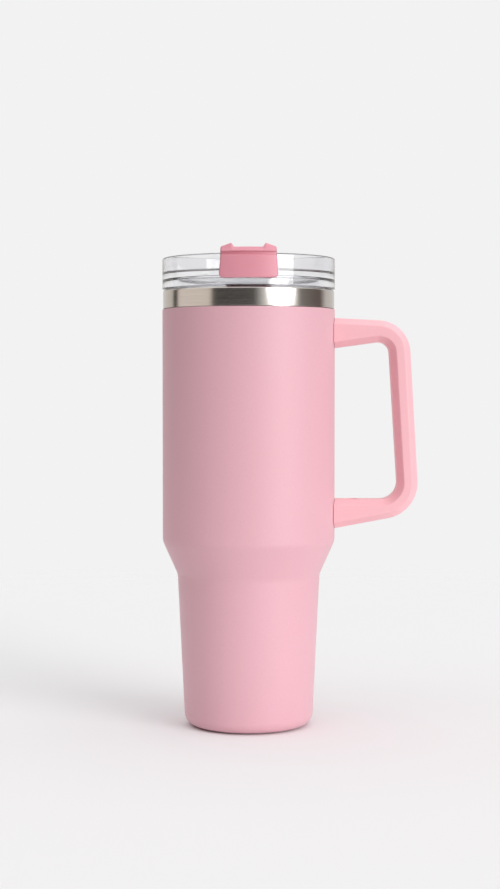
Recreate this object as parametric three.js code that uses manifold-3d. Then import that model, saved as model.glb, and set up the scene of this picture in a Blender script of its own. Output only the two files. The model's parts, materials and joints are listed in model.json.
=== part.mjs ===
// Insulated tumbler of about 1.2 litres, with a side handle and a clear press-in lid.
// Millimetres, +Z up. The origin is the centre of the base, on the surface that the tumbler stands on.
// The handle reaches towards +X, and the drinking side of the lid faces -Y.

import * as THREE from 'three';
import { mergeVertices } from 'three/addons/utils/BufferGeometryUtils.js';
import Module from 'manifold-3d';

const wasm = await Module();
wasm.setup();

// ---------------------------------------------------------------- clearances and facets

const SEAT_GAP = 0.3;            // between pieces that are welded, pressed or seated together
const SWING_GAP = 0.5;           // beside a piece that swings past another
const PIN_GAP = 0.15;            // round the hinge pin
const TURN_FLATS = 48;           // flats round the cup and the lid
const TAB_FLATS = 120;           // flats round the full circle that the cap's front is cut from
const HOLE_FLATS = 20;           // flats round a screw, pin or small hole
const FILLET_STEP = Math.PI / 8; // turn between two points of a fillet

// ---------------------------------------------------------------- cup

const BODY_RADIUS = 50;          // outside of the upper body
const STEM_TOP_RADIUS = 41.3;    // outside of the lower body, under the shoulder
const STEM_BASE_RADIUS = 37.1;   // outside of the lower body at the base, before its corner is rounded
const SHOULDER_TOP = 107.7;      // height at which the shoulder reaches the upper body
const SHOULDER_HEIGHT = 19.3;
const SHOULDER_FILLET = 10;      // soft breaks above and below the shoulder
const BASE_CORNER = 7;           // rounding of the base
const COAT_TOP = 241.8;          // height of the coated shell's top edge
const BAND_HEIGHT = 10.9;        // bare steel band above the coat
const BAND_STEP = 0.4;           // how far the bare band lies inside the coated wall
const SHELL_WALL = 0.6;
const VACUUM_GAP = 2.6;
const LINER_WALL = 0.5;
const LINER_FLOOR = 10;          // height of the floor inside the cup
const FLOOR_CORNER = 7.2;        // rounding of the floor inside the cup
const LIP_ROUND = 1.4;           // rounding of the drinking edge
const PAD_PROUD = 0.5;           // how far the base pad stands below the steel
const PAD_THICKNESS = 2.3;
const HEM_RADIUS = 29.2;         // opening in the shell's base
const HEM_HEIGHT = 3.1;          // turned-up edge of that opening
const DISC_WALL = 0.8;           // steel disc that closes the base
const DIMPLE_RADIUS = 5.2;       // raised middle of that disc
const DIMPLE_HEIGHT = 2.9;
const PORT_RADIUS = 1.5;         // hole that the vacuum is drawn through
const SOLDER_HEIGHT = 1.2;       // head of the solder drop under that hole
const GETTER_RADIUS = 4.5;
const GETTER_HEIGHT = 3;
const GETTER_OFFSET = 16;
const FOIL_THICKNESS = 0.3;
const FOIL_MARGIN = 7;           // bare length of liner above and below the foil

const lipTop = COAT_TOP + SEAT_GAP + BAND_HEIGHT;
const linerInset = SHELL_WALL + VACUUM_GAP;
const mouthRadius = BODY_RADIUS - linerInset - LINER_WALL;
const bandRadius = BODY_RADIUS - BAND_STEP;
const padTop = PAD_THICKNESS;
const discBottom = padTop + SEAT_GAP;
const discTop = discBottom + DISC_WALL;

// ---------------------------------------------------------------- handle

const HANDLE_DEPTH = 22;         // front to back
const HANDLE_CHAMFER = 3.4;      // chamfer, measured in the handle's own plane
const HANDLE_CHAMFER_DEPTH = 4.6; // the same chamfer, measured front to back
const UPPER_ARM_DROP = 5;        // from the coat's edge down to the upper arm
const UPPER_ARM_SLOPE = 0.05;    // fall of the upper arm's top edge
const UPPER_ARM_ROOT = 17.2;     // height of the upper arm where it meets the body
const UPPER_ARM_UNDERCUT = 0.138; // rise of the upper arm's lower edge
const LOWER_ARM_RISE = 7.6;      // from the shoulder up to the lower arm
const LOWER_ARM_SLOPE = 0.186;   // rise of the lower arm's bottom edge
const LOWER_ARM_ROOT = 16.6;     // height of the lower arm where it meets the body
const GRIP_TOP_REACH = 42.5;     // from the body to the grip's outer edge, at its top corner
const GRIP_BOTTOM_REACH = 48.9;  // the same at the bottom corner: the grip leans outwards
const GRIP_TOP_SPAN = 31.3;      // from the body to the grip's inner edge, at its top corner
const GRIP_BOTTOM_SPAN = 37;     // the same at the bottom corner
const TOP_CORNER = 19;           // outer corner radii
const BOTTOM_CORNER = 21;
const TOP_INNER_CORNER = 6.6;    // inner corner radii
const BOTTOM_INNER_CORNER = 10;
const ROOT_OVERLAP = 6;          // how far the arms start inside the body before they are trimmed

const SCREW_REACH = 10;          // from the body to the screws
const SCREW_RADIUS = 2;          // M4
const SCREW_HEAD_RADIUS = 3.5;
const SCREW_HEAD_HEIGHT = 2.2;
const SCREW_SOCKET_RADIUS = 1.5;
const SCREW_SOCKET_DEPTH = 1.2;
const PLUG_THICKNESS = 1.3;      // cap over each screw head
const PLUG_RECESS = 0.5;         // how far that cap lies below the arm's face
const HEAD_SPACE = 0.5;          // between the cap and the screw head
const SCREW_FLOOR = 2;           // plastic that the screw head clamps
const BRACKET_HEIGHT = 5;
const BRACKET_HALF_WIDTH = 5.7;
const BRACKET_LENGTH = 15.5;     // into the arm
const FLANGE_HALF_WIDTH = 7;     // welded foot of the bracket
const FLANGE_THICKNESS = 2;
const FLANGE_OVERHANG = 1;       // foot beyond the block, above and below
const BRACKET_FIT = 0.4;         // room round the bracket in its pocket

// ---------------------------------------------------------------- lid

const LID_HEIGHT = 17.9;         // from the steel lip up to the lid's rim
const LID_RIM = 2;               // wall thickness at the rim
const LID_WALL_FOOT = 2.6;       // wall thickness where it meets the deck
const DECK_DEPTH = 9.5;          // from the rim down to the deck
const DECK_THICKNESS = 2.4;
const NECK_DEPTH = 11.5;         // part of the lid that goes into the cup
const NECK_CLEARANCE = 1.2;      // between that neck and the cup's wall
const NECK_WALL = 3.5;
const SEAL_HEIGHT = 4;
const SEAL_LIFT = 3.4;           // from the neck's lower edge to the seal's groove
const GROOVE_DEPTH = 1.6;
const SEAL_FIN = 0.7;            // height of the seal's fins above its waist

const CAP_HALF_TOP = 15.6;       // half width of the flip cap at its lip
const CAP_HALF_BOTTOM = 16.6;    // half width at the foot of its front skirt
const SKIRT_THICKNESS = 2.5;
const SKIRT_DROP = 13.9;         // from the rim down to the skirt's foot
const SKIRT_CORNER = 2.5;
const GROOVE_LOW = 1.2;          // finger groove under the lip: its foot below the rim
const GROOVE_HIGH = 0.6;         // its top above the rim
const GROOVE_SET_BACK = 1.3;     // how far it lies behind the skirt's face
const LIP_FRONT = 0.4;           // how far the thumb lip stands in front of the skirt
const LIP_DEPTH = 5.8;           // front to back
const LIP_LEAN = 0.4;            // how far the lip's face leans back for each millimetre of its height
const LIP_HEIGHT = 3.2;          // scooped middle of the lip above the rim
const EAR_HEIGHT = 5.2;          // raised ends of the lip above the rim
const EAR_PEAK = 9.4;            // peaks of those ends, from the middle
const SCOOP_HALF = 8.2;          // half width of the scoop
const RAMP_LENGTH = 7;           // slope behind the lip
const BAR_HALF = 13.3;           // half width of the bar behind the lip
const BAR_FRONT = 0.6;           // how far the bar reaches into the skirt
const BAR_TOP_DROP = 0.6;        // from the rim down to the cap's bar
const BAR_LIFT = 1;              // from the deck up to the bar's side walls
const BAR_PLATE = 3.2;           // top of the bar
const BAR_SIDE = 2.6;            // side walls of the bar
const FRONT_BLOCK = 5;           // solid plastic behind the skirt, at the bar's front end
const NOTCH_DEPTH = 7;           // front to back, from the lid's outer wall
const HINGE_Y = 10;              // hinge line, behind the middle of the lid
const HINGE_LIFT = 5.3;          // hinge line above the deck
const HEEL = 4;                  // end of the bar behind the hinge line, which stops it when open
const HEEL_ROUND = 3.2;          // rounding under the heel, which lets the bar turn
const KNUCKLE = 5.5;             // solid part of the bar in front of the hinge line
const PIN_RADIUS = 1.3;
const EYE_RADIUS = 3.8;          // rounded top of each hinge ear
const EYE_THICKNESS = 3.2;
const EYE_FOOT = 5.5;            // half width of an ear at the deck
const SPOUT_MARGIN = 2.6;        // deck between the drinking hole and the neck's wall
const SPOUT_HALF_WIDTH = 9;
const SPOUT_HALF_LENGTH = 5.5;
const SPOUT_CORNER = 4.5;
const STOPPER_DIP = 1.4;         // how far the stopper reaches below the deck's face
const VENT_SPACING = 12;         // from the drinking hole's edge to the air hole
const VENT_RADIUS = 1.6;
const VENT_PLUG_COLLAR = 3;

const lidBottom = lipTop + SEAT_GAP;
const rimTop = lidBottom + LID_HEIGHT;
const deckTop = rimTop - DECK_DEPTH;
const deckBottom = deckTop - DECK_THICKNESS;
const neckRadius = mouthRadius - NECK_CLEARANCE;
const neckBottom = lidBottom - NECK_DEPTH;
const grooveBottom = neckBottom + SEAL_LIFT;
const grooveTop = grooveBottom + SEAL_HEIGHT + 2 * SEAT_GAP;
const spoutY = SPOUT_HALF_LENGTH + SPOUT_MARGIN + NECK_WALL - neckRadius;
const ventY = spoutY + SPOUT_HALF_LENGTH + VENT_SPACING;
const skirtInner = BODY_RADIUS + SWING_GAP;
const skirtRadius = skirtInner + SKIRT_THICKNESS;
const grooveRadius = skirtRadius - GROOVE_SET_BACK;
const lipRadius = skirtRadius + LIP_FRONT;
const skirtBottom = rimTop - SKIRT_DROP;
const barTop = rimTop - BAR_TOP_DROP;
const barBottom = deckTop + BAR_LIFT;
const hingeZ = deckTop + HINGE_LIFT;
const eyeInner = BAR_HALF + SEAT_GAP;
const eyeOuter = eyeInner + EYE_THICKNESS;

// ---------------------------------------------------------------- materials

const finish = (color, roughness, metalness = 0, more = {}) =>
  new THREE.MeshStandardMaterial({ color, roughness, metalness, ...more });

const powderCoat = finish('#eec6d0', 0.62);
const brushedSteel = finish('#c4beb6', 0.32, 1);
const plainSteel = finish('#b9b9bb', 0.4, 1);
const copperFoil = finish('#c98a5e', 0.3, 1);
const pinkPlastic = finish('#f9c1ca', 0.45);
const clearPlastic = finish('#f4f5f7', 0.05, 0, { transparent: true, opacity: 0.3 });
const silicone = finish('#e9e3e4', 0.6);
const pinkSilicone = finish('#eeb4c0', 0.6);
const greySilicone = finish('#8f8b8d', 0.75);
const solder = finish('#6d6a66', 0.5);

// ---------------------------------------------------------------- outlines

// Points of an outline through corners given as [x, y, fillet radius]. A corner with no radius stays sharp.
function outline(corners) {
  const spot = (i) => new THREE.Vector2(...corners[(i + corners.length) % corners.length].slice(0, 2));
  return corners.flatMap(([, , radius = 0], i) => {
    const here = spot(i);
    if (radius === 0) return [here];
    const back = spot(i - 1).sub(here).normalize();
    const on = spot(i + 1).sub(here).normalize();
    const half = Math.acos(THREE.MathUtils.clamp(back.dot(on), -1, 1)) / 2;
    const centre = back.clone().add(on).normalize().multiplyScalar(radius / Math.sin(half)).add(here);
    const from = back.multiplyScalar(radius / Math.tan(half)).add(here).sub(centre).angle();
    const to = on.multiplyScalar(radius / Math.tan(half)).add(here).sub(centre).angle();
    const turn = THREE.MathUtils.euclideanModulo(to - from + Math.PI, 2 * Math.PI) - Math.PI;
    const steps = Math.max(2, Math.ceil(Math.abs(turn) / FILLET_STEP));
    return Array.from({ length: steps + 1 }, (_, step) => {
      const angle = from + (turn * step) / steps;
      return new THREE.Vector2(Math.cos(angle), Math.sin(angle)).multiplyScalar(radius).add(centre);
    });
  });
}

// The same outline mirrored in the vertical axis: corners listed for the right side, from bottom to top.
function mirrored(rightSide) {
  const leftSide = rightSide.map(([x, y, radius]) => [-x, y, radius]).reverse();
  return [...rightSide, ...leftSide];
}

// ---------------------------------------------------------------- solids

// Turns an outline of [radius, height, fillet] about the Z axis. It runs up its outer side.
function turned(corners, flats = TURN_FLATS) {
  const points = outline(corners);
  if (corners[0][0] > 0) points.push(points[0].clone());
  return new THREE.LatheGeometry(points, flats).rotateX(Math.PI / 2);
}

function pushed(points, depth, bevel = {}) {
  return new THREE.ExtrudeGeometry(new THREE.Shape(points), { depth, bevelEnabled: false, ...bevel });
}

// An outline of [x, z] given its depth along Y, from yMin to yMax.
function frontView(corners, yMin, yMax) {
  return pushed(outline(corners), yMax - yMin).rotateX(Math.PI / 2).translate(0, yMax, 0);
}

// An outline of [y, z] given its width along X, from xMin to xMax.
function sideView(corners, xMin, xMax) {
  const turn = new THREE.Matrix4().makeBasis(
    new THREE.Vector3(0, 1, 0), new THREE.Vector3(0, 0, 1), new THREE.Vector3(1, 0, 0));
  return pushed(outline(corners), xMax - xMin).applyMatrix4(turn).translate(xMin, 0, 0);
}

// An outline of [x, y] given its height, from zMin to zMax.
function planView(corners, zMin, zMax) {
  return pushed(outline(corners), zMax - zMin).translate(0, 0, zMin);
}

function box([x0, x1], [y0, y1], [z0, z1]) {
  const shape = new THREE.BoxGeometry(x1 - x0, y1 - y0, z1 - z0);
  return shape.translate((x0 + x1) / 2, (y0 + y1) / 2, (z0 + z1) / 2);
}

function roundBar(radius, zMin, zMax, flats = HOLE_FLATS) {
  return turned([[0, zMin], [radius, zMin], [radius, zMax], [0, zMax]], flats);
}

function crossBar(radius, xMin, xMax, y, z) {
  return roundBar(radius, xMin, xMax).rotateY(Math.PI / 2).translate(0, y, z);
}

// A closed geometry as a solid that can be cut and joined. Slivers on the turning axis are dropped.
function solid(geometry) {
  const bare = geometry.clone();
  bare.deleteAttribute('normal');
  bare.deleteAttribute('uv');
  const merged = mergeVertices(bare, 1e-4);
  const index = merged.index.array;
  const kept = [];
  for (let i = 0; i < index.length; i += 3) {
    const [a, b, c] = [index[i], index[i + 1], index[i + 2]];
    if (a !== b && b !== c && c !== a) kept.push(a, b, c);
  }
  const vertProperties = new Float32Array(merged.attributes.position.array);
  return new wasm.Manifold(new wasm.Mesh({ numProp: 3, vertProperties, triVerts: new Uint32Array(kept) }));
}

function geometryOf(shape) {
  const { vertProperties, triVerts } = shape.getMesh();
  const geometry = new THREE.BufferGeometry();
  geometry.setAttribute('position', new THREE.BufferAttribute(vertProperties, 3));
  geometry.setIndex(new THREE.BufferAttribute(triVerts, 1));
  geometry.computeVertexNormals();
  return geometry;
}

const joined = (...shapes) => shapes.reduce((sum, shape) => sum.add(shape));
const cut = (shape, ...cutters) => cutters.reduce((rest, cutter) => rest.subtract(cutter), shape);

function part(name, geometry, material) {
  const mesh = new THREE.Mesh(geometry, material);
  mesh.name = name;
  return mesh;
}

// ---------------------------------------------------------------- cup

// Corners of the wall's outside, from the base to the shoulder, moved in by inset.
function wallCorners(inset, base, corner) {
  return [
    [STEM_BASE_RADIUS - inset, base, corner],
    [STEM_TOP_RADIUS - inset, SHOULDER_TOP - SHOULDER_HEIGHT, SHOULDER_FILLET],
    [BODY_RADIUS - inset, SHOULDER_TOP, SHOULDER_FILLET],
  ];
}

// Coated outer wall. Its base turns in and ends in a short upright hem.
function outerShell() {
  const inside = BODY_RADIUS - SHELL_WALL;
  const hemTop = PAD_PROUD + HEM_HEIGHT;
  const shape = turned([
    [HEM_RADIUS, hemTop],
    [HEM_RADIUS, PAD_PROUD, 1],
    ...wallCorners(0, PAD_PROUD, BASE_CORNER),
    [BODY_RADIUS, COAT_TOP],
    [inside, COAT_TOP],
    ...wallCorners(SHELL_WALL, PAD_PROUD + SHELL_WALL, BASE_CORNER - SHELL_WALL).reverse(),
    [HEM_RADIUS + SHELL_WALL, PAD_PROUD + SHELL_WALL],
    [HEM_RADIUS + SHELL_WALL, hemTop],
  ]);
  return part('outer_shell', shape, powderCoat);
}

// Inner cup. Its mouth rolls outwards and down, and that turned-down band is the bare steel ring.
function innerLiner() {
  const outside = mouthRadius + LINER_WALL;
  const underLip = lipTop - LINER_WALL;
  const shape = turned([
    [0, LINER_FLOOR - LINER_WALL],
    ...wallCorners(linerInset, LINER_FLOOR - LINER_WALL, FLOOR_CORNER + LINER_WALL),
    [outside, underLip],
    [bandRadius - LINER_WALL, underLip],
    [bandRadius - LINER_WALL, COAT_TOP + SEAT_GAP],
    [bandRadius, COAT_TOP + SEAT_GAP],
    [bandRadius, lipTop, LIP_ROUND],
    [mouthRadius, lipTop, LIP_ROUND],
    ...wallCorners(linerInset + LINER_WALL, LINER_FLOOR, FLOOR_CORNER).reverse(),
    [0, LINER_FLOOR],
  ]);
  return part('inner_liner', shape, brushedSteel);
}

// Foil wrapped round the straight part of the liner, which reflects heat back.
function radiationFoil() {
  const inner = mouthRadius + LINER_WALL + SEAT_GAP;
  const outer = inner + FOIL_THICKNESS;
  const low = SHOULDER_TOP + FOIL_MARGIN;
  const high = COAT_TOP - FOIL_MARGIN;
  const shape = turned([[inner, low], [outer, low], [outer, high], [inner, high]]);
  return part('radiation_foil', shape, copperFoil);
}

// Pill under the liner that soaks up stray gas.
function getter() {
  const top = LINER_FLOOR - LINER_WALL - SEAT_GAP;
  const shape = roundBar(GETTER_RADIUS, top - GETTER_HEIGHT, top);
  return part('getter', shape.translate(-GETTER_OFFSET, 0, 0), plainSteel);
}

// Disc that closes the base, with a raised dimple round the vacuum port.
function outerBottom() {
  const rim = HEM_RADIUS - SEAT_GAP;
  const rise = DIMPLE_HEIGHT;
  const shape = turned([
    [PORT_RADIUS, discBottom + rise],
    [DIMPLE_RADIUS - DISC_WALL, discBottom + rise],
    [DIMPLE_RADIUS + DISC_WALL, discBottom],
    [rim, discBottom],
    [rim, discTop],
    [DIMPLE_RADIUS + 2 * DISC_WALL, discTop],
    [DIMPLE_RADIUS, discTop + rise],
    [PORT_RADIUS, discTop + rise],
  ]);
  return part('outer_bottom', shape, plainSteel);
}

// Solder drop that closes the vacuum port.
function vacuumSeal() {
  const ceiling = discBottom + DIMPLE_HEIGHT - SEAT_GAP;
  const headRadius = DIMPLE_RADIUS - 2 * DISC_WALL;
  const stemRadius = PORT_RADIUS - SEAT_GAP;
  const stemTop = ceiling + SEAT_GAP + DISC_WALL;
  const shape = turned([
    [0, ceiling - SOLDER_HEIGHT],
    [headRadius, ceiling - SOLDER_HEIGHT, SOLDER_HEIGHT / 2],
    [headRadius, ceiling],
    [stemRadius, ceiling],
    [stemRadius, stemTop],
    [0, stemTop],
  ], HOLE_FLATS);
  return part('vacuum_seal', shape, solder);
}

// Soft disc that the tumbler stands on.
function basePad() {
  const rim = HEM_RADIUS - 2 * SEAT_GAP;
  const shape = turned([[0, 0], [rim, 0, 0.6], [rim, padTop], [0, padTop]]);
  return part('base_pad', shape, greySilicone);
}

// ---------------------------------------------------------------- handle

// The two arms' fixing places: the face that the screw enters, and the way it points (up or down).
const armFixings = [
  {
    name: 'upper',
    face: COAT_TOP - UPPER_ARM_DROP - UPPER_ARM_ROOT + UPPER_ARM_UNDERCUT * (SCREW_REACH + SCREW_HEAD_RADIUS),
    way: 1,
  },
  { name: 'lower', face: SHOULDER_TOP + LOWER_ARM_RISE + LOWER_ARM_ROOT, way: -1 },
].map((fixing) => {
  const at = (distance) => fixing.face + fixing.way * distance;
  const plugEnd = PLUG_RECESS + PLUG_THICKNESS;
  const headEnd = plugEnd + HEAD_SPACE + SCREW_HEAD_HEIGHT;
  const floorEnd = headEnd + SEAT_GAP + SCREW_FLOOR;
  return { ...fixing, at, plugEnd, headEnd, floorEnd };
});

// Two heights in rising order, whichever way the screw points.
const span = (fixing, near, far) => [fixing.at(near), fixing.at(far)].sort((a, b) => a - b);

function bracketBlocks(fixing, room) {
  const near = fixing.floorEnd + BRACKET_FIT - room;
  const far = fixing.floorEnd + BRACKET_FIT + BRACKET_HEIGHT + room;
  const block = box(
    [BODY_RADIUS - FLANGE_THICKNESS, BODY_RADIUS + BRACKET_LENGTH + room],
    [-BRACKET_HALF_WIDTH - room, BRACKET_HALF_WIDTH + room],
    span(fixing, near, far));
  const foot = box(
    [BODY_RADIUS - FLANGE_THICKNESS, BODY_RADIUS + FLANGE_THICKNESS + room],
    [-FLANGE_HALF_WIDTH - room, FLANGE_HALF_WIDTH + room],
    span(fixing, near - FLANGE_OVERHANG, far + FLANGE_OVERHANG));
  return joined(solid(block), solid(foot));
}

function trimmedToBody(shape) {
  const bodyTrim = roundBar(BODY_RADIUS + SEAT_GAP, 0, rimTop, TURN_FLATS);
  return cut(shape, solid(bodyTrim));
}

function screwHole(fixing, radius, near, far) {
  const [low, high] = span(fixing, near, far);
  return solid(roundBar(radius, low, high).translate(BODY_RADIUS + SCREW_REACH, 0, 0));
}

// One moulding: two arms and a leaning grip, with chamfered edges.
function handle() {
  const top = COAT_TOP - UPPER_ARM_DROP;
  const bottom = SHOULDER_TOP + LOWER_ARM_RISE;
  const root = BODY_RADIUS - ROOT_OVERLAP;
  const out = (reach) => BODY_RADIUS + reach;
  const face = pushed(outline([
    [root, top + UPPER_ARM_SLOPE * ROOT_OVERLAP],
    [root, top - UPPER_ARM_ROOT - UPPER_ARM_UNDERCUT * ROOT_OVERLAP],
    [out(GRIP_TOP_SPAN), top - UPPER_ARM_ROOT + UPPER_ARM_UNDERCUT * GRIP_TOP_SPAN, TOP_INNER_CORNER],
    [out(GRIP_BOTTOM_SPAN), bottom + LOWER_ARM_ROOT, BOTTOM_INNER_CORNER],
    [root, bottom + LOWER_ARM_ROOT],
    [root, bottom - LOWER_ARM_SLOPE * ROOT_OVERLAP],
    [out(GRIP_BOTTOM_REACH), bottom + LOWER_ARM_SLOPE * GRIP_BOTTOM_REACH, BOTTOM_CORNER],
    [out(GRIP_TOP_REACH), top - UPPER_ARM_SLOPE * GRIP_TOP_REACH, TOP_CORNER],
  ]), HANDLE_DEPTH - 2 * HANDLE_CHAMFER_DEPTH, {
    bevelEnabled: true,
    bevelSegments: 1,
    bevelSize: HANDLE_CHAMFER,
    bevelOffset: -HANDLE_CHAMFER,
    bevelThickness: HANDLE_CHAMFER_DEPTH,
  });
  face.translate(0, 0, HANDLE_CHAMFER_DEPTH - HANDLE_DEPTH / 2).rotateX(Math.PI / 2);
  const cutters = armFixings.flatMap((fixing) => [
    bracketBlocks(fixing, BRACKET_FIT),
    screwHole(fixing, SCREW_HEAD_RADIUS + BRACKET_FIT, -SCREW_HEAD_HEIGHT, fixing.headEnd + SEAT_GAP),
    screwHole(fixing, SCREW_RADIUS + SEAT_GAP, 0, fixing.floorEnd + SCREW_FLOOR),
  ]);
  return part('handle', geometryOf(cut(trimmedToBody(solid(face)), ...cutters)), pinkPlastic);
}

// Steel tab welded to the shell inside the end of an arm, drilled for the screw.
function bracket(fixing) {
  const drilled = cut(trimmedToBody(bracketBlocks(fixing, 0)),
    screwHole(fixing, SCREW_RADIUS + SEAT_GAP, fixing.floorEnd, fixing.floorEnd + 2 * BRACKET_HEIGHT));
  return part(`${fixing.name}_bracket`, geometryOf(drilled), plainSteel);
}

function handleScrew(fixing) {
  const tip = fixing.floorEnd + BRACKET_FIT + BRACKET_HEIGHT;
  const headStart = fixing.headEnd - SCREW_HEAD_HEIGHT;
  const head = screwHole(fixing, SCREW_HEAD_RADIUS, headStart, fixing.headEnd);
  const shank = screwHole(fixing, SCREW_RADIUS, headStart, tip);
  const [low, high] = span(fixing, headStart - SCREW_SOCKET_DEPTH, headStart + SCREW_SOCKET_DEPTH);
  const socket = roundBar(SCREW_SOCKET_RADIUS, low, high, 6).translate(BODY_RADIUS + SCREW_REACH, 0, 0);
  return part(`${fixing.name}_screw`, geometryOf(cut(joined(head, shank), solid(socket))), plainSteel);
}

function screwPlug(fixing) {
  const disc = screwHole(fixing, SCREW_HEAD_RADIUS, PLUG_RECESS, fixing.plugEnd);
  return part(`${fixing.name}_screw_plug`, geometryOf(disc), pinkPlastic);
}

// ---------------------------------------------------------------- lid

// Corners of a rounded rectangle about [0, y].
function roundedRectangle(halfWidth, halfLength, corner, y) {
  return [
    [-halfWidth, y - halfLength, corner],
    [halfWidth, y - halfLength, corner],
    [halfWidth, y + halfLength, corner],
    [-halfWidth, y + halfLength, corner],
  ];
}

// Gap in the lid's wall for the cap's bar.
function frontNotch() {
  const half = BAR_HALF + SWING_GAP;
  const depth = [-BODY_RADIUS - 1, NOTCH_DEPTH - BODY_RADIUS];
  return solid(box([-half, half], depth, [barBottom - SWING_GAP, rimTop + 1]));
}

function hingeEars() {
  const sunk = deckTop - DECK_THICKNESS / 2;
  const side = [
    [HINGE_Y - EYE_FOOT, sunk],
    [HINGE_Y + EYE_FOOT, sunk],
    [HINGE_Y + EYE_RADIUS, hingeZ + EYE_RADIUS, EYE_RADIUS * 0.9],
    [HINGE_Y - EYE_RADIUS, hingeZ + EYE_RADIUS, EYE_RADIUS * 0.9],
  ];
  return joined(solid(sideView(side, -eyeOuter, -eyeInner)), solid(sideView(side, eyeInner, eyeOuter)));
}

// Clear moulding: a low wall round a deck, and a neck below that goes into the cup.
function lidBody() {
  const bowl = turned([
    [0, deckBottom],
    [neckRadius - NECK_WALL, deckBottom, 2],
    [neckRadius - NECK_WALL, neckBottom],
    [neckRadius, neckBottom, 0.8],
    [neckRadius, grooveBottom],
    [neckRadius - GROOVE_DEPTH, grooveBottom],
    [neckRadius - GROOVE_DEPTH, grooveTop],
    [neckRadius, grooveTop],
    [neckRadius, lidBottom],
    [BODY_RADIUS, lidBottom],
    [BODY_RADIUS, rimTop, LID_RIM * 0.45],
    [BODY_RADIUS - LID_RIM, rimTop, LID_RIM * 0.45],
    [BODY_RADIUS - LID_WALL_FOOT, deckTop, 1.5],
    [0, deckTop],
  ]);
  const spoutHole = planView(
    roundedRectangle(SPOUT_HALF_WIDTH, SPOUT_HALF_LENGTH, SPOUT_CORNER, spoutY), deckBottom - 1, deckTop + 1);
  const ventHole = roundBar(VENT_RADIUS, deckBottom - 1, deckTop + 1).translate(0, ventY, 0);
  const pinHole = crossBar(PIN_RADIUS + PIN_GAP, -eyeOuter - 1, eyeOuter + 1, HINGE_Y, hingeZ);
  const shape = cut(joined(solid(bowl), hingeEars()),
    frontNotch(), solid(spoutHole), solid(ventHole), solid(pinHole));
  return part('lid_body', geometryOf(shape), clearPlastic);
}

// Soft ring in the neck's groove, with two fins that press on the cup's wall.
function lidSeal() {
  const low = grooveBottom + SEAT_GAP;
  const fin = SEAL_HEIGHT / 4;
  const inner = neckRadius - GROOVE_DEPTH + SEAT_GAP;
  const outer = mouthRadius - SEAT_GAP;
  const waist = outer - SEAL_FIN;
  const shape = turned([
    [inner, low],
    [waist, low],
    [outer, low + fin / 2],
    [outer, low + fin],
    [waist, low + 1.5 * fin],
    [waist, low + 2.5 * fin],
    [outer, low + 3 * fin],
    [outer, low + 3.5 * fin],
    [waist, low + SEAL_HEIGHT],
    [inner, low + SEAL_HEIGHT],
  ]);
  return part('lid_seal', shape, silicone);
}

// Front of the cap: skirt, finger groove and thumb lip, cut from a ring about the lid's axis.
function capFront() {
  const lipBottom = rimTop + GROOVE_HIGH;
  const top = rimTop + EAR_HEIGHT + 1;
  const ring = turned([
    [skirtInner, skirtBottom, 0.5],
    [skirtRadius, skirtBottom, 0.9],
    [skirtRadius, rimTop - GROOVE_LOW, 0.6],
    [grooveRadius, rimTop - GROOVE_LOW],
    [grooveRadius, lipBottom],
    [lipRadius, lipBottom, 0.4],
    [lipRadius - LIP_LEAN * (top - lipBottom), top],
    [lipRadius - LIP_DEPTH, top],
    [lipRadius - LIP_DEPTH, lipBottom],
    [skirtInner, lipBottom],
  ], TAB_FLATS);
  const frontHalf = box([-lipRadius, lipRadius], [-2 * lipRadius, 0], [0, 2 * top]);
  return solid(ring).intersect(solid(frontHalf));
}

// Bar from the hinge to the lip. Its front end follows the skirt's circle, and its square heel meets the
// deck when the cap is fully open.
function capBar() {
  const front = skirtInner + BAR_FRONT;
  const crest = LIP_DEPTH - lipRadius;
  const top = rimTop + LIP_HEIGHT - SEAT_GAP;
  const side = [
    [HINGE_Y + HEEL, barTop],
    [crest + RAMP_LENGTH, barTop, RAMP_LENGTH / 2],
    [crest, top],
    [-front - 1, top],
    [-front - 1, barBottom],
    [HINGE_Y + HEEL, barBottom, HEEL_ROUND],
  ];
  return solid(sideView(side, -BAR_HALF, BAR_HALF)).intersect(solid(roundBar(front, 0, 2 * top, TAB_FLATS)));
}

// Cap seen from the front: flared skirt with rounded feet, and a scooped lip with raised ends.
function capSilhouette() {
  const shape = frontView(mirrored([
    [CAP_HALF_BOTTOM, skirtBottom, SKIRT_CORNER],
    [CAP_HALF_TOP, rimTop - GROOVE_LOW],
    [CAP_HALF_TOP, rimTop + LIP_HEIGHT, 0.6],
    [EAR_PEAK, rimTop + EAR_HEIGHT, 0.7],
    [SCOOP_HALF, rimTop + LIP_HEIGHT, 0.9],
  ]), -2 * BODY_RADIUS, 0);
  return solid(shape);
}

function flipCap() {
  const pocketHalf = BAR_HALF - BAR_SIDE;
  const pocket = box(
    [-pocketHalf, pocketHalf],
    [FRONT_BLOCK - skirtInner, HINGE_Y - KNUCKLE],
    [barBottom - 1, barTop - BAR_PLATE]);
  const pinHole = crossBar(PIN_RADIUS + PIN_GAP, -2 * BAR_HALF, 2 * BAR_HALF, HINGE_Y, hingeZ);
  const shape = joined(capFront().intersect(capSilhouette()), capBar());
  return part('flip_cap', geometryOf(cut(shape, solid(pocket), solid(pinHole))), pinkPlastic);
}

// Soft stopper under the cap, which closes the drinking hole.
function spoutPlug() {
  const fits = SPOUT_HALF_LENGTH - SWING_GAP;
  const shape = planView(
    roundedRectangle(SPOUT_HALF_WIDTH - SWING_GAP, fits, SPOUT_CORNER - SWING_GAP, spoutY),
    deckTop - STOPPER_DIP, barTop - BAR_PLATE - SEAT_GAP);
  return part('spout_plug', shape, pinkSilicone);
}

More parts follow.
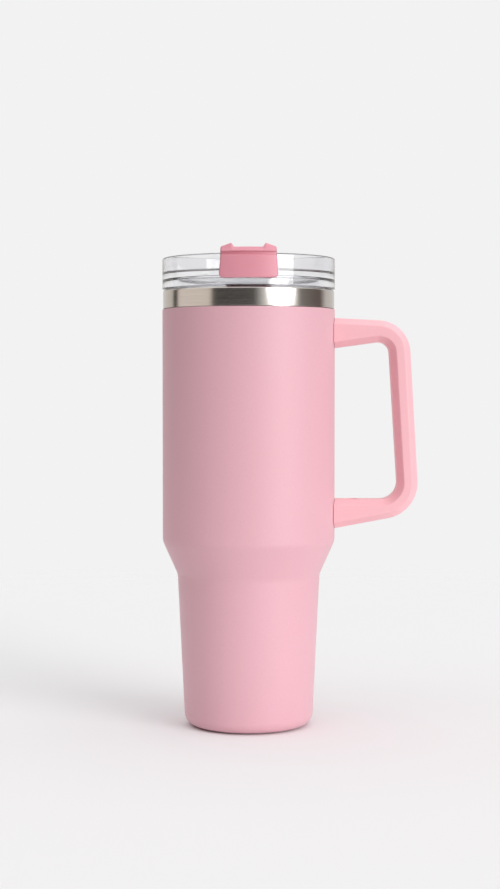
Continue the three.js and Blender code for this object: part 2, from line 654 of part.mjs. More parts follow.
// Soft nub under the cap, which closes the air hole.
function ventPlug() {
  const top = barTop - BAR_PLATE - SEAT_GAP;
  const nub = VENT_RADIUS - SWING_GAP;
  const collarBottom = deckTop + BAR_LIFT;
  const shape = turned([
    [0, deckTop - STOPPER_DIP / 2],
    [nub, deckTop - STOPPER_DIP / 2],
    [nub, collarBottom],
    [VENT_PLUG_COLLAR, collarBottom],
    [VENT_PLUG_COLLAR, top],
    [0, top],
  ], HOLE_FLATS);
  return part('vent_plug', shape.translate(0, ventY, 0), pinkSilicone);
}

function hingePin() {
  const half = eyeOuter - SEAT_GAP;
  return part('hinge_pin', crossBar(PIN_RADIUS, -half, half, HINGE_Y, hingeZ), plainSteel);
}

// ---------------------------------------------------------------- assembly

const tumbler = new THREE.Group();
tumbler.add(
  innerLiner(), radiationFoil(), getter(), outerShell(), outerBottom(), vacuumSeal(), basePad(),
  handle(), ...armFixings.map(bracket), ...armFixings.map(handleScrew), ...armFixings.map(screwPlug),
  lidBody(), lidSeal(), flipCap(), spoutPlug(), ventPlug(), hingePin(),
);

export default tumbler;
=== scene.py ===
# %% [markdown]
# # Insulated tumbler with a clear flip-cap lid
#
# The tumbler is a vacuum cup: a coated steel shell, a bare steel liner that shows as a ring above the
# coat, a moulded handle screwed to the side, and a clear lid with a pink flip cap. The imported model
# already has every piece at its real size, but with flat facets. This file keeps those pieces as its
# frame and gives each one that shows a smooth surface and a real finish. Lengths are in millimetres
# until they go into a mesh, because that is how the pieces are drawn.

import json
import math

import bmesh
import bpy
import numpy as np
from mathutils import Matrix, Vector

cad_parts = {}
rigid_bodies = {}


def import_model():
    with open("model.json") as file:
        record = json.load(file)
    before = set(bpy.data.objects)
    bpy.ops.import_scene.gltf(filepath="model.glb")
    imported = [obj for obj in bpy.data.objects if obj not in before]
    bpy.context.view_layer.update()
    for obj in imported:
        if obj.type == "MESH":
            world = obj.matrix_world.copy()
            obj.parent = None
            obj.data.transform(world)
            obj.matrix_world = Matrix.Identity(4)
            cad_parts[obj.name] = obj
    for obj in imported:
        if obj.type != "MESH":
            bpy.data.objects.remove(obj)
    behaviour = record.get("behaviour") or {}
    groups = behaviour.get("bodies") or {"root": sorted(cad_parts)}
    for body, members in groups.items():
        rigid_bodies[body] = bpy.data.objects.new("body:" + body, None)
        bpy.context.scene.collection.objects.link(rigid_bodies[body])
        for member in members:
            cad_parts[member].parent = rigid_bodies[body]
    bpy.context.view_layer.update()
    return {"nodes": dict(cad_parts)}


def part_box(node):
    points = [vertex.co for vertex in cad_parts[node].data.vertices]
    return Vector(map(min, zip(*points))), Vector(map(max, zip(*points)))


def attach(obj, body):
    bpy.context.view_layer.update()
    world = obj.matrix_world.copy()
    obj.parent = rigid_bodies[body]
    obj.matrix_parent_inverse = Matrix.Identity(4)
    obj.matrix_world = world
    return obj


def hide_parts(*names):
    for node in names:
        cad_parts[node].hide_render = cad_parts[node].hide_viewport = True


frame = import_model()
nodes = frame["nodes"]
MM = 0.001


def size_of(node):
    """Lowest and highest corner of a CAD node, in millimetres."""
    low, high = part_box(node)
    return np.array(low) / MM, np.array(high) / MM


# %% [markdown]
# ## Camera
#
# A product shot of a tall object is taken from about a metre away with a short telephoto lens, so that
# the sides stay almost upright. The camera stands a little below the lid and looks very slightly down.

# %% The camera
SENSOR = 36
FOCAL_LENGTH = 69.58
CAMERA_PLACE = (0.0008, -1.0, 0.19744)
CAMERA_DIP = 0.03388

lens = bpy.data.cameras.new("camera")
lens.sensor_width = SENSOR
lens.lens = FOCAL_LENGTH
camera = bpy.data.objects.new("camera", lens)
camera.location = CAMERA_PLACE
camera.rotation_euler = (math.pi / 2 - CAMERA_DIP, 0, 0)
bpy.context.scene.collection.objects.link(camera)
bpy.context.scene.camera = camera
print("camera:", FOCAL_LENGTH, "mm lens,", round(-CAMERA_PLACE[1], 2), "m in front")

# %% [markdown]
# ## Outlines and surfaces
#
# Almost every piece here is either turned, like a pot on a wheel, or an outline carried along a line.
# Both come out as a grid of points, so two small tools are enough: one rounds the corners of an
# outline, and one lays four-sided faces on a grid. The grids are worked out as whole arrays.

# %% Rounded outlines
ARC_POINTS = 8


def rounded(corners, arc_points=ARC_POINTS, loop=False):
    """Points of an outline through corners (x, y, radius).

    At a corner with a radius the outline follows the circle that touches both sides. The circle's
    middle lies on the line that halves the corner, radius / sin(half the corner's angle) away.
    """
    spots = np.array([corner[:2] for corner in corners], float)
    pieces = []
    for i, corner in enumerate(corners):
        radius = corner[2] if len(corner) > 2 else 0
        at_end = not loop and i in (0, len(corners) - 1)
        if radius == 0 or at_end:
            pieces.append(spots[i : i + 1])
            continue
        back = spots[i - 1] - spots[i]
        on = spots[(i + 1) % len(spots)] - spots[i]
        back /= np.linalg.norm(back)
        on /= np.linalg.norm(on)
        half = math.acos(np.clip(back @ on, -1, 1)) / 2
        middle = back + on
        centre = spots[i] + middle / np.linalg.norm(middle) * radius / math.sin(half)
        first = spots[i] + back * radius / math.tan(half) - centre
        last = spots[i] + on * radius / math.tan(half) - centre
        start = math.atan2(first[1], first[0])
        turn = (math.atan2(last[1], last[0]) - start + math.pi) % (2 * math.pi) - math.pi
        angle = start + turn * np.linspace(0, 1, arc_points)
        pieces.append(centre + radius * np.stack([np.cos(angle), np.sin(angle)], axis=1))
    return np.concatenate(pieces)


def spread(path, count):
    """The path again, as count points at equal steps of its length."""
    steps = np.hypot(*np.diff(path, axis=0).T)
    along = np.concatenate([[0], np.cumsum(steps)])
    places = np.linspace(0, along[-1], count)
    return np.stack([np.interp(places, along, path[:, k]) for k in (0, 1)], axis=1)


def leftwards(path, loop=True):
    """Unit vectors a quarter turn left of the path's direction, at each of its points."""
    after = np.roll(path, -1, axis=0)
    before = np.roll(path, 1, axis=0)
    if not loop:
        after[-1] = path[-1]
        before[0] = path[0]
    run = after - before
    run /= np.linalg.norm(run, axis=1, keepdims=True)
    return np.stack([-run[:, 1], run[:, 0]], axis=1)


# %% Faces on a grid
SHARP_ANGLE = math.radians(38)
MERGE = 1e-7


def quads_on(rows, columns, rows_meet):
    """Corner numbers of the faces on a grid whose columns always close on themselves."""
    number = np.arange(rows * columns).reshape(rows, columns)
    number = np.concatenate([number, number[:, :1]], axis=1)
    if rows_meet:
        number = np.concatenate([number, number[:1]], axis=0)
    corners = number[:-1, :-1], number[1:, :-1], number[1:, 1:], number[:-1, 1:]
    return np.stack(corners, axis=-1).reshape(-1, 4)


def end_faces(first, columns):
    """Faces that close one end ring: point i is joined to point i from the other end of the ring."""
    i = np.arange(columns // 2 - 1)
    return first + np.stack([i, i + 1, columns - 2 - i, columns - 1 - i], axis=1)


def piece(name, grid, rows_meet=False):
    """A closed object from a grid of points in millimetres, shape (rows, columns, 3).

    The columns run round the piece. On a ring the rows meet too. Otherwise both ends are closed, and
    an end row that is drawn on the turning axis shrinks to one point.
    """
    rows, columns = grid.shape[:2]
    faces = [quads_on(rows, columns, rows_meet)]
    if not rows_meet:
        faces += [end_faces(0, columns), end_faces((rows - 1) * columns, columns)]
    faces = np.concatenate(faces).astype(np.int32)
    mesh = bpy.data.meshes.new(name)
    mesh.vertices.add(rows * columns)
    mesh.vertices.foreach_set("co", (grid * MM).astype(np.float32).ravel())
    mesh.loops.add(faces.size)
    mesh.loops.foreach_set("vertex_index", faces.ravel())
    mesh.polygons.add(len(faces))
    mesh.polygons.foreach_set("loop_start", np.arange(0, faces.size, 4, dtype=np.int32))
    mesh.update(calc_edges=True)
    made = bpy.data.objects.new(name, mesh)
    bpy.context.scene.collection.objects.link(made)
    return tidied(made)


def tidied(made):
    """Merges doubled points, closes any hair-thin gap that a boolean left, turns the faces outwards
    and smooths all but the sharp edges."""
    shape = bmesh.new()
    shape.from_mesh(made.data)
    bmesh.ops.remove_doubles(shape, verts=shape.verts, dist=MERGE)
    bmesh.ops.holes_fill(shape, edges=shape.edges, sides=0)
    bmesh.ops.recalc_face_normals(shape, faces=shape.faces)
    open_edges = sum(not edge.is_manifold for edge in shape.edges)
    shape.to_mesh(made.data)
    shape.free()
    made.data.shade_smooth()
    made.data.set_sharp_from_angle(angle=SHARP_ANGLE)
    print(f"{made.name}: {len(made.data.polygons)} faces, {open_edges} open edges")
    return made


# %% Turned pieces and slabs
AROUND = 192


def turned(profile, around=AROUND):
    """Each point (r, z) of the profile goes round the Z axis: (r cos a, r sin a, z)."""
    angle = np.linspace(0, 2 * np.pi, around, endpoint=False)
    r, z = np.asarray(profile, float).T
    x = np.outer(r, np.cos(angle))
    y = np.outer(r, np.sin(angle))
    return np.stack([x, y, np.broadcast_to(z[:, None], x.shape)], axis=-1)


def slab(outline, low, high, edge=0.0, edge_points=6):
    """A closed outline carried from low to high, with both rims rounded by a quarter circle.

    At angle a of the rounding the outline lies edge * (1 - sin a) inside itself, at a height of
    edge * (1 - cos a) from the slab's end.
    """
    angle = np.linspace(0, np.pi / 2, edge_points) if edge else np.array([np.pi / 2])
    inset = edge * (1 - np.sin(angle))
    height = edge * (1 - np.cos(angle))
    inset = np.concatenate([inset, inset[::-1]])
    level = np.concatenate([low + height, (high - height)[::-1]])
    after = np.roll(outline, -1, axis=0)
    area = np.sum(outline[:, 0] * after[:, 1] - outline[:, 1] * after[:, 0])
    flat = outline[None] + (np.sign(area) * leftwards(outline))[None] * inset[:, None, None]
    upright = np.broadcast_to(level[:, None, None], flat.shape[:2] + (1,))
    return np.concatenate([flat, upright], axis=-1)


def along_x(grid):
    """A slab drawn in (y, z) and raised along its third axis, laid so that this axis is X."""
    return grid[..., [2, 0, 1]]


# %% Cutting and joining
def combined(made, other, how):
    """The piece after a boolean with another piece, which is used up."""
    work = made.modifiers.new(how.lower(), "BOOLEAN")
    work.operation = how
    work.object = other
    work.solver = "EXACT"
    bpy.context.view_layer.update()
    view = bpy.context.evaluated_depsgraph_get()
    result = bpy.data.meshes.new_from_object(made.evaluated_get(view))
    made.modifiers.clear()
    made.data = result
    bpy.data.objects.remove(other)
    return made


def flat_faces_first(made):
    """Lets the large flat faces decide the shading beside a cut, so that no cut edge looks dented."""
    work = made.modifiers.new("weighted normals", "WEIGHTED_NORMAL")
    work.keep_sharp = True
    return made


# %% Putting a piece in the frame
def settle(made, body, slot, *replaced):
    """The piece moves with its body and stands for its CAD nodes, which it hides. The slot is not used."""
    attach(made, body)
    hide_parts(*replaced)
    return made


# %% [markdown]
# ## The coated shell
#
# The outer wall is a deep-drawn steel tube, spun in below to fit a cup holder. It could be traced with
# a screw modifier, but a turned profile keeps the soft breaks of the shoulder as true arcs. The same
# profile runs back up on the inside, one wall thickness in, so that the shell is a real sheet.

# %% Outer shell
shell_low, shell_high = size_of("outer_shell")
BODY_RADIUS = shell_high[0]
COAT_TOP = shell_high[2]
SHELL_FOOT = shell_low[2]
STEM_TOP_RADIUS = 41.3
STEM_BASE_RADIUS = 37.1
SHOULDER_TOP = 107.7
SHOULDER_HEIGHT = 19.3
SHOULDER_FILLET = 10
BASE_CORNER = 7
SHELL_WALL = 0.6
COAT_EDGE = 0.28
HEM_RADIUS = 29.2
HEM_HEIGHT = 3.1


def wall(inset, foot, corner):
    """Corners of the side wall from the base to the shoulder, moved in by inset."""
    return [
        (STEM_BASE_RADIUS - inset, foot, corner),
        (STEM_TOP_RADIUS - inset, SHOULDER_TOP - SHOULDER_HEIGHT, SHOULDER_FILLET),
        (BODY_RADIUS - inset, SHOULDER_TOP, SHOULDER_FILLET),
    ]


shell_profile = rounded([
    (HEM_RADIUS, SHELL_FOOT + HEM_HEIGHT),
    (HEM_RADIUS, SHELL_FOOT, 1),
    *wall(0, SHELL_FOOT, BASE_CORNER),
    (BODY_RADIUS, COAT_TOP, COAT_EDGE),
    (BODY_RADIUS - SHELL_WALL, COAT_TOP, COAT_EDGE),
    *wall(SHELL_WALL, SHELL_FOOT + SHELL_WALL, BASE_CORNER - SHELL_WALL)[::-1],
    (HEM_RADIUS + SHELL_WALL, SHELL_FOOT + SHELL_WALL),
    (HEM_RADIUS + SHELL_WALL, SHELL_FOOT + HEM_HEIGHT),
], loop=True)
shell = piece("coated_shell", turned(shell_profile), rows_meet=True)
settle(shell, "cup", "pink_coat", "outer_shell")

# %% [markdown]
# ## The steel liner
#
# The inner cup is a second drawn tube. At the mouth its wall rolls outwards and a short way down, and
# that turned-down ring is the bare steel band under the lid. The roll is one arc on each side of the
# lip, which is what makes it comfortable to drink from.

# %% Inner liner
liner_low, liner_high = size_of("inner_liner")
SEAT_GAP = 0.3
BAND_RADIUS = liner_high[0]
LIP_TOP = liner_high[2]
LINER_WALL = 0.5
LINER_INSET = 3.2
LINER_FLOOR = liner_low[2] + LINER_WALL
FLOOR_CORNER = 7.2
LIP_ROUND = 1.4
MOUTH_RADIUS = BODY_RADIUS - LINER_INSET - LINER_WALL

liner_profile = rounded([
    (0, LINER_FLOOR - LINER_WALL),
    *wall(LINER_INSET, LINER_FLOOR - LINER_WALL, FLOOR_CORNER + LINER_WALL),
    (MOUTH_RADIUS + LINER_WALL, LIP_TOP - LINER_WALL, LIP_ROUND - LINER_WALL),
    (BAND_RADIUS - LINER_WALL, LIP_TOP - LINER_WALL, LIP_ROUND - LINER_WALL),
    (BAND_RADIUS - LINER_WALL, COAT_TOP + SEAT_GAP, 0.1),
    (BAND_RADIUS, COAT_TOP + SEAT_GAP, 0.2),
    (BAND_RADIUS, LIP_TOP, LIP_ROUND),
    (MOUTH_RADIUS, LIP_TOP, LIP_ROUND),
    *wall(LINER_INSET + LINER_WALL, LINER_FLOOR, FLOOR_CORNER)[::-1],
    (0, LINER_FLOOR),
])
liner = piece("steel_liner", turned(liner_profile))
settle(liner, "cup", "bare_steel", "inner_liner")

# %% [markdown]
# ## The foot
#
# A soft pad is pressed into the opening of the base, so that the tumbler stands quietly and does not
# slip. It is a turned disc with a shallow ring moulded into its face.

# %% Base pad
_, pad_high = size_of("base_pad")
PAD_GROOVE = (20, 23)
PAD_GROOVE_DEPTH = 0.4
PAD_EDGE = 0.6
PAD_BREAK = 0.2

pad_profile = rounded([
    (0, 0),
    (PAD_GROOVE[0], 0, PAD_BREAK),
    (PAD_GROOVE[0] + PAD_GROOVE_DEPTH, PAD_GROOVE_DEPTH, PAD_BREAK),
    (PAD_GROOVE[1] - PAD_GROOVE_DEPTH, PAD_GROOVE_DEPTH, PAD_BREAK),
    (PAD_GROOVE[1], 0, PAD_BREAK),
    (pad_high[0], 0, PAD_EDGE),
    (pad_high[0], pad_high[2], PAD_BREAK),
    (0, pad_high[2]),
])
pad = piece("foot_pad", turned(pad_profile))
settle(pad, "cup", "grey_silicone", "base_pad")

# %% [markdown]
# ## The handle
#
# The handle is one moulding: two arms and a grip that leans outwards towards the bottom. Its section is
# a rectangle with broad chamfers, and the chamfers keep their width round every corner. So the handle
# is drawn as two lines, the outer and the inner edge of its side view, and the section is hung between
# them: each point of the section lies a set distance in from one of the lines, at a set depth.

# %% The handle's two edges
handle_low, handle_high = size_of("handle")
UPPER_ARM_DROP = 5
LOWER_ARM_RISE = 7.6
HANDLE_TOP = COAT_TOP - UPPER_ARM_DROP
HANDLE_BOTTOM = SHOULDER_TOP + LOWER_ARM_RISE
UPPER_SLOPE = 0.05
UPPER_ROOT = 17.2
UNDERCUT = 0.138
LOWER_SLOPE = 0.186
LOWER_ROOT = 16.6
GRIP_OUTSIDE = (42.5, 48.9)
GRIP_INSIDE = (31.3, 37)
OUTER_CORNERS = (19, 21)
INNER_CORNERS = (6.6, 10)
ROOT_START = -6
ARM_STEPS = 14
CORNER_STEPS = 26
GRIP_STEPS = 24


def matched_steps(corners):
    """An edge from the upper root to the lower root. Both edges get the same count of points on each
    straight stretch and each arc, so that one number is the same place on both."""
    bend = rounded(corners, CORNER_STEPS)
    upper, lower = bend[1 : 1 + CORNER_STEPS], bend[1 + CORNER_STEPS : -1]
    arm = np.linspace(0, 1, ARM_STEPS, endpoint=False)[:, None]
    grip = np.linspace(0, 1, GRIP_STEPS + 2)[1:-1, None]
    return np.concatenate([
        bend[0] + arm * (upper[0] - bend[0]),
        upper,
        upper[-1] + grip * (lower[0] - upper[-1]),
        lower,
        bend[-1] + arm[::-1] * (lower[-1] - bend[-1]),
    ])


outer_edge = matched_steps([
    (BODY_RADIUS + ROOT_START, HANDLE_TOP - UPPER_SLOPE * ROOT_START),
    (BODY_RADIUS + GRIP_OUTSIDE[0], HANDLE_TOP - UPPER_SLOPE * GRIP_OUTSIDE[0], OUTER_CORNERS[0]),
    (BODY_RADIUS + GRIP_OUTSIDE[1], HANDLE_BOTTOM + LOWER_SLOPE * GRIP_OUTSIDE[1], OUTER_CORNERS[1]),
    (BODY_RADIUS + ROOT_START, HANDLE_BOTTOM + LOWER_SLOPE * ROOT_START),
])
underside = HANDLE_TOP - UPPER_ROOT
inner_edge = matched_steps([
    (BODY_RADIUS + ROOT_START, underside + UNDERCUT * ROOT_START),
    (BODY_RADIUS + GRIP_INSIDE[0], underside + UNDERCUT * GRIP_INSIDE[0], INNER_CORNERS[0]),
    (BODY_RADIUS + GRIP_INSIDE[1], HANDLE_BOTTOM + LOWER_ROOT, INNER_CORNERS[1]),
    (BODY_RADIUS + ROOT_START, HANDLE_BOTTOM + LOWER_ROOT),
])
print("handle edges:", len(outer_edge), len(inner_edge), "stations")

# %% The handle's section
CHAMFER = 3.4
CHAMFER_DEPTH = 4.6
SECTION_ROUND = 1.1
FACE_INSET = 5

half_depth = (handle_high[1] - handle_low[1]) / 2
side_half = half_depth - CHAMFER_DEPTH
section = rounded([
    (FACE_INSET, half_depth),
    (CHAMFER, half_depth, SECTION_ROUND),
    (0, side_half, SECTION_ROUND),
    (0, -side_half, SECTION_ROUND),
    (CHAMFER, -half_depth, SECTION_ROUND),
    (FACE_INSET, -half_depth),
])


def hung(line, side):
    """The section along one edge: in from the line by its first number, at the depth of its second."""
    normal = side * leftwards(line, loop=False)
    flat = line[:, None, :] + normal[:, None, :] * section[None, :, :1]
    depth = np.broadcast_to(section[None, :, 1:], flat.shape[:2] + (1,))
    return np.concatenate([flat[..., :1], depth, flat[..., 1:]], axis=-1)


def ended_on_body(grid):
    """Slides the points of each arm along the arm, so that every line ends on the body's cylinder."""
    grid = grid.copy()
    cylinder = np.sqrt((BODY_RADIUS + SEAT_GAP) ** 2 - grid[0, :, 1] ** 2)
    share = np.linspace(0, 1, ARM_STEPS)[:, None, None]
    for rows in (slice(0, ARM_STEPS), slice(-1, -ARM_STEPS - 1, -1)):
        arm = grid[rows].copy()
        run = arm[-1] - arm[0]
        start = arm[0] + run * ((cylinder - arm[0, :, 0]) / run[:, 0])[:, None]
        grid[rows] = start[None] + share * (arm[-1] - start)[None]
    return grid


handle_grid = np.concatenate([hung(outer_edge, -1), hung(inner_edge, 1)[:, ::-1]], axis=1)
handle = piece("moulded_handle", ended_on_body(handle_grid))

# %% [markdown]
# ## The handle's fixings
#
# Each arm slips over a steel tab that is welded to the shell, and one screw goes through the arm into
# the tab. A small pink cap covers the screw head. The pockets are cut from the moulding with booleans,
# which is what a mould's cores do, and the caps are turned discs with a rounded rim.

# %% Pockets and screw caps
POCKET_ROOM = 0.4
BLOCK_HALF_WIDTH = 5.7
FOOT_DEPTH = 2
FOOT_OVERHANG = 1
SCREW_REACH = 10
SCREW_PLACE = BODY_RADIUS + SCREW_REACH
HOLE_RADIUS = 3.9
HOLE_FLATS = 64
CAP_EDGE = 0.35
CAP_FIT = 0.2
BEYOND = 3


def pocket_for(name, reach, half_width, low, high):
    """A box from inside the body out to a reach, with its long edges left sharp."""
    start = BODY_RADIUS - BEYOND
    plan = np.array([(start, -half_width), (reach, -half_width), (reach, half_width), (start, half_width)])
    return piece(name, slab(plan, low, high))


for arm in ("upper", "lower"):
    low, high = size_of(f"{arm}_bracket")
    low, high = low - POCKET_ROOM, high + POCKET_ROOM
    foot = pocket_for(f"{arm}_foot", BODY_RADIUS + FOOT_DEPTH + POCKET_ROOM, high[1], low[2], high[2])
    low, high = low + (0, 0, FOOT_OVERHANG), high - (0, 0, FOOT_OVERHANG)
    block = pocket_for(f"{arm}_block", high[0], BLOCK_HALF_WIDTH + POCKET_ROOM, low[2], high[2])
    combined(handle, foot, "DIFFERENCE")
    combined(handle, block, "DIFFERENCE")
    screw_low, screw_high = size_of(f"{arm}_screw")
    plug_low, plug_high = size_of(f"{arm}_screw_plug")
    if arm == "upper":
        ends = plug_low[2] - BEYOND, (low[2] + screw_low[2]) / 2
    else:
        ends = (high[2] + screw_high[2]) / 2, plug_high[2] + BEYOND
    bore = turned([(0, ends[0]), (HOLE_RADIUS, ends[0]), (HOLE_RADIUS, ends[1]), (0, ends[1])], HOLE_FLATS)
    bore = piece(f"{arm}_bore", bore + (SCREW_PLACE, 0, 0))
    combined(handle, bore, "DIFFERENCE")
    radius = (plug_high[0] - plug_low[0]) / 2 + CAP_FIT
    cap_profile = rounded([
        (0, plug_low[2]),
        (radius, plug_low[2], CAP_EDGE),
        (radius, plug_high[2], CAP_EDGE),
        (0, plug_high[2]),
    ])
    cover = piece(f"{arm}_screw_cover", turned(cap_profile, HOLE_FLATS) + (SCREW_PLACE, 0, 0))
    settle(cover, "cup", "pink_plastic", f"{arm}_screw_plug")
settle(flat_faces_first(tidied(handle)), "cup", "pink_plastic", "handle")

# %% [markdown]
# ## The clear lid
#
# The lid is one clear moulding: a low wall round a deck, and a neck below that goes into the cup. It is
# turned as one solid and then cut, because a clear piece must have no faces inside it: each extra face
# would bend the light once more and show as a ghost line.

# %% Lid blank
lid_low, lid_high = size_of("lid_body")
seal_low, seal_high = size_of("lid_seal")
RIM_TOP = lid_high[2]
DECK_DEPTH = 9.5
DECK_TOP = RIM_TOP - DECK_DEPTH
DECK_THICKNESS = 2.4
DECK_BOTTOM = DECK_TOP - DECK_THICKNESS
RIM_WALL = 2
WALL_FOOT = 2.6
RIM_ROUND = 0.9
NECK_CLEARANCE = 1.2
NECK_RADIUS = MOUTH_RADIUS - NECK_CLEARANCE
NECK_WALL = 3.5
GROOVE_DEPTH = 1.6
SMALL_BREAK = 0.2

lid_profile = rounded([
    (0, DECK_BOTTOM),
    (NECK_RADIUS - NECK_WALL, DECK_BOTTOM, 2),
    (NECK_RADIUS - NECK_WALL, lid_low[2], 0.6),
    (NECK_RADIUS, lid_low[2], 0.8),
    (NECK_RADIUS, seal_low[2] - SEAT_GAP, SMALL_BREAK),
    (NECK_RADIUS - GROOVE_DEPTH, seal_low[2] - SEAT_GAP, SMALL_BREAK),
    (NECK_RADIUS - GROOVE_DEPTH, seal_high[2] + SEAT_GAP, SMALL_BREAK),
    (NECK_RADIUS, seal_high[2] + SEAT_GAP, SMALL_BREAK),
    (NECK_RADIUS, LIP_TOP + SEAT_GAP, 0.5),
    (BODY_RADIUS, LIP_TOP + SEAT_GAP, 0.7),
    (BODY_RADIUS, RIM_TOP, RIM_ROUND),
    (BODY_RADIUS - RIM_WALL, RIM_TOP, RIM_ROUND),
    (BODY_RADIUS - WALL_FOOT, DECK_TOP, 1.5),
    (0, DECK_TOP),
])
lid = piece("clear_lid", turned(lid_profile))

# %% Hinge ears
pin_low, pin_high = size_of("hinge_pin")
HINGE_Y, HINGE_Z = (pin_low[1:] + pin_high[1:]) / 2
PIN_RADIUS = (pin_high[1] - pin_low[1]) / 2
EAR_INSIDE = 13.6
EAR_OUTSIDE = pin_high[0] + SEAT_GAP
EAR_RADIUS = 3.8
EAR_ROUND = EAR_RADIUS * 0.9
EAR_HALF_FOOT = 5.5
EAR_EDGE = 0.5
EAR_SUNK = 1

ear_outline = rounded([
    (HINGE_Y - EAR_HALF_FOOT, DECK_TOP - EAR_SUNK),
    (HINGE_Y + EAR_HALF_FOOT, DECK_TOP - EAR_SUNK),
    (HINGE_Y + EAR_RADIUS, HINGE_Z + EAR_RADIUS, EAR_ROUND),
    (HINGE_Y - EAR_RADIUS, HINGE_Z + EAR_RADIUS, EAR_ROUND),
], loop=True)
for side, ends in (("right", (EAR_INSIDE, EAR_OUTSIDE)), ("left", (-EAR_OUTSIDE, -EAR_INSIDE))):
    ear = piece(f"{side}_ear", along_x(slab(ear_outline, *ends, EAR_EDGE)))
    combined(lid, ear, "UNION")

# %% Notch, holes and hinge bore
cap_low, cap_high = size_of("flip_cap")
spout_low, spout_high = size_of("spout_plug")
vent_low, vent_high = size_of("vent_plug")
SWING_GAP = 0.5
PIN_GAP = 0.15
BAR_HALF = 13.3
BAR_BOTTOM = DECK_TOP + 1
NOTCH_DEPTH = 7
NOTCH_CORNER = 0.6
VENT_RADIUS = 1.6
SPOUT_CORNER = 4.5
HOLE_ARC = 12
OVER = 1


def round_rectangle(low, high, corner, arc_points=ARC_POINTS):
    """A rectangle of the plan between two corners, with rounded corners."""
    return rounded([
        (low[0], low[1], corner),
        (high[0], low[1], corner),
        (high[0], high[1], corner),
        (low[0], high[1], corner),
    ], arc_points, loop=True)


notch_half = BAR_HALF + SWING_GAP
notch_floor = BAR_BOTTOM - SWING_GAP
notch_outline = round_rectangle(
    (-notch_half, notch_floor), (notch_half, RIM_TOP + OVER + NOTCH_CORNER), NOTCH_CORNER)
notch = slab(notch_outline, BODY_RADIUS - NOTCH_DEPTH, BODY_RADIUS + OVER)[..., [0, 2, 1]] * (1, -1, 1)
spout_hole = round_rectangle(spout_low - SWING_GAP, spout_high + SWING_GAP, SPOUT_CORNER, HOLE_ARC)
vent_place = (vent_low + vent_high) / 2 * (1, 1, 0)
deck_span = DECK_BOTTOM - OVER, DECK_TOP + OVER


def rod(radius, ends, edge=0.0, flats=HOLE_FLATS):
    """A round bar about Z between two heights, its rims rounded by edge."""
    profile = [(0, ends[0]), (radius, ends[0], edge), (radius, ends[1], edge), (0, ends[1])]
    return turned(rounded(profile), flats)


cutters = {
    "notch": notch,
    "spout_hole": slab(spout_hole, *deck_span),
    "vent_hole": rod(VENT_RADIUS, deck_span) + vent_place,
    "hinge_bore": along_x(rod(PIN_RADIUS + PIN_GAP, (-EAR_OUTSIDE - OVER, EAR_OUTSIDE + OVER)))
    + (0, HINGE_Y, HINGE_Z),
}
for name, grid in cutters.items():
    combined(lid, piece(name, grid), "DIFFERENCE")
settle(flat_faces_first(tidied(lid)), "lid", "clear_plastic", "lid_body")

# %% [markdown]
# ## The seal and the hinge pin
#
# A soft ring with two fins sits in the groove of the neck and presses on the cup's wall. It is turned
# like the lid. The hinge pin is a plain steel rod with its ends broken so that it presses in easily.

# %% Lid seal
SEAL_FIN = 0.7
SEAL_BREAK = 0.15

seal_inside = NECK_RADIUS - GROOVE_DEPTH + SEAT_GAP
fin = (seal_high[2] - seal_low[2]) / 4
waist = seal_high[0] - SEAL_FIN
seal_profile = rounded([
    (seal_inside, seal_low[2], SEAL_BREAK),
    (waist, seal_low[2], SEAL_BREAK),
    (seal_high[0], seal_low[2] + fin / 2, SEAL_BREAK),
    (seal_high[0], seal_low[2] + fin, SEAL_BREAK),
    (waist, seal_low[2] + 1.5 * fin, SEAL_BREAK),
    (waist, seal_low[2] + 2.5 * fin, SEAL_BREAK),
    (seal_high[0], seal_low[2] + 3 * fin, SEAL_BREAK),
    (seal_high[0], seal_low[2] + 3.5 * fin, SEAL_BREAK),
    (waist, seal_high[2], SEAL_BREAK),
    (seal_inside, seal_high[2], SEAL_BREAK),
], loop=True)
seal = piece("finned_seal", turned(seal_profile), rows_meet=True)
settle(seal, "seal", "white_silicone", "lid_seal")

# %% Hinge pin
PIN_EDGE = 0.3

pin = along_x(rod(PIN_RADIUS, (pin_low[0], pin_high[0]), PIN_EDGE)) + (0, HINGE_Y, HINGE_Z)
settle(piece("steel_pin", pin), "lid", "plain_steel", "hinge_pin")

# %% [markdown]
# ## The flip cap
#
# Seen from the side, the cap's front is a skirt down the lid's wall, a finger groove and a thumb lip.
# That view is the outline here. It is carried round the lid on circles, and on the way the lip rises
# into two ears with a scoop between them, and the width narrows from the skirt's foot up to the lip.
# Behind it a plain bar runs through the notch in the wall, back to the hinge.

# %% The cap's front, seen from the side
HALF_TOP = 15.6
HALF_BOTTOM = 16.6
SKIRT_CORNER = 2.5
SKIRT_THICKNESS = 2.5
SKIRT_INSIDE = BODY_RADIUS + SWING_GAP
SKIRT_FRONT = SKIRT_INSIDE + SKIRT_THICKNESS
GROOVE_SET_BACK = 1.3
GROOVE_RADIUS = SKIRT_FRONT - GROOVE_SET_BACK
GROOVE_FOOT = RIM_TOP - 1.2
GROOVE_TOP = RIM_TOP + 0.6
LIP_OVERHANG = 0.4
LIP_DEPTH = 5.8
LIP_RADIUS = SKIRT_FRONT + LIP_OVERHANG
LIP_BACK = LIP_RADIUS - LIP_DEPTH
LIP_LEAN = 0.95
LIP_ROUND_OVER = 1.3
SCOOP_TOP = RIM_TOP + 3.2
FRONT_POINTS = 96

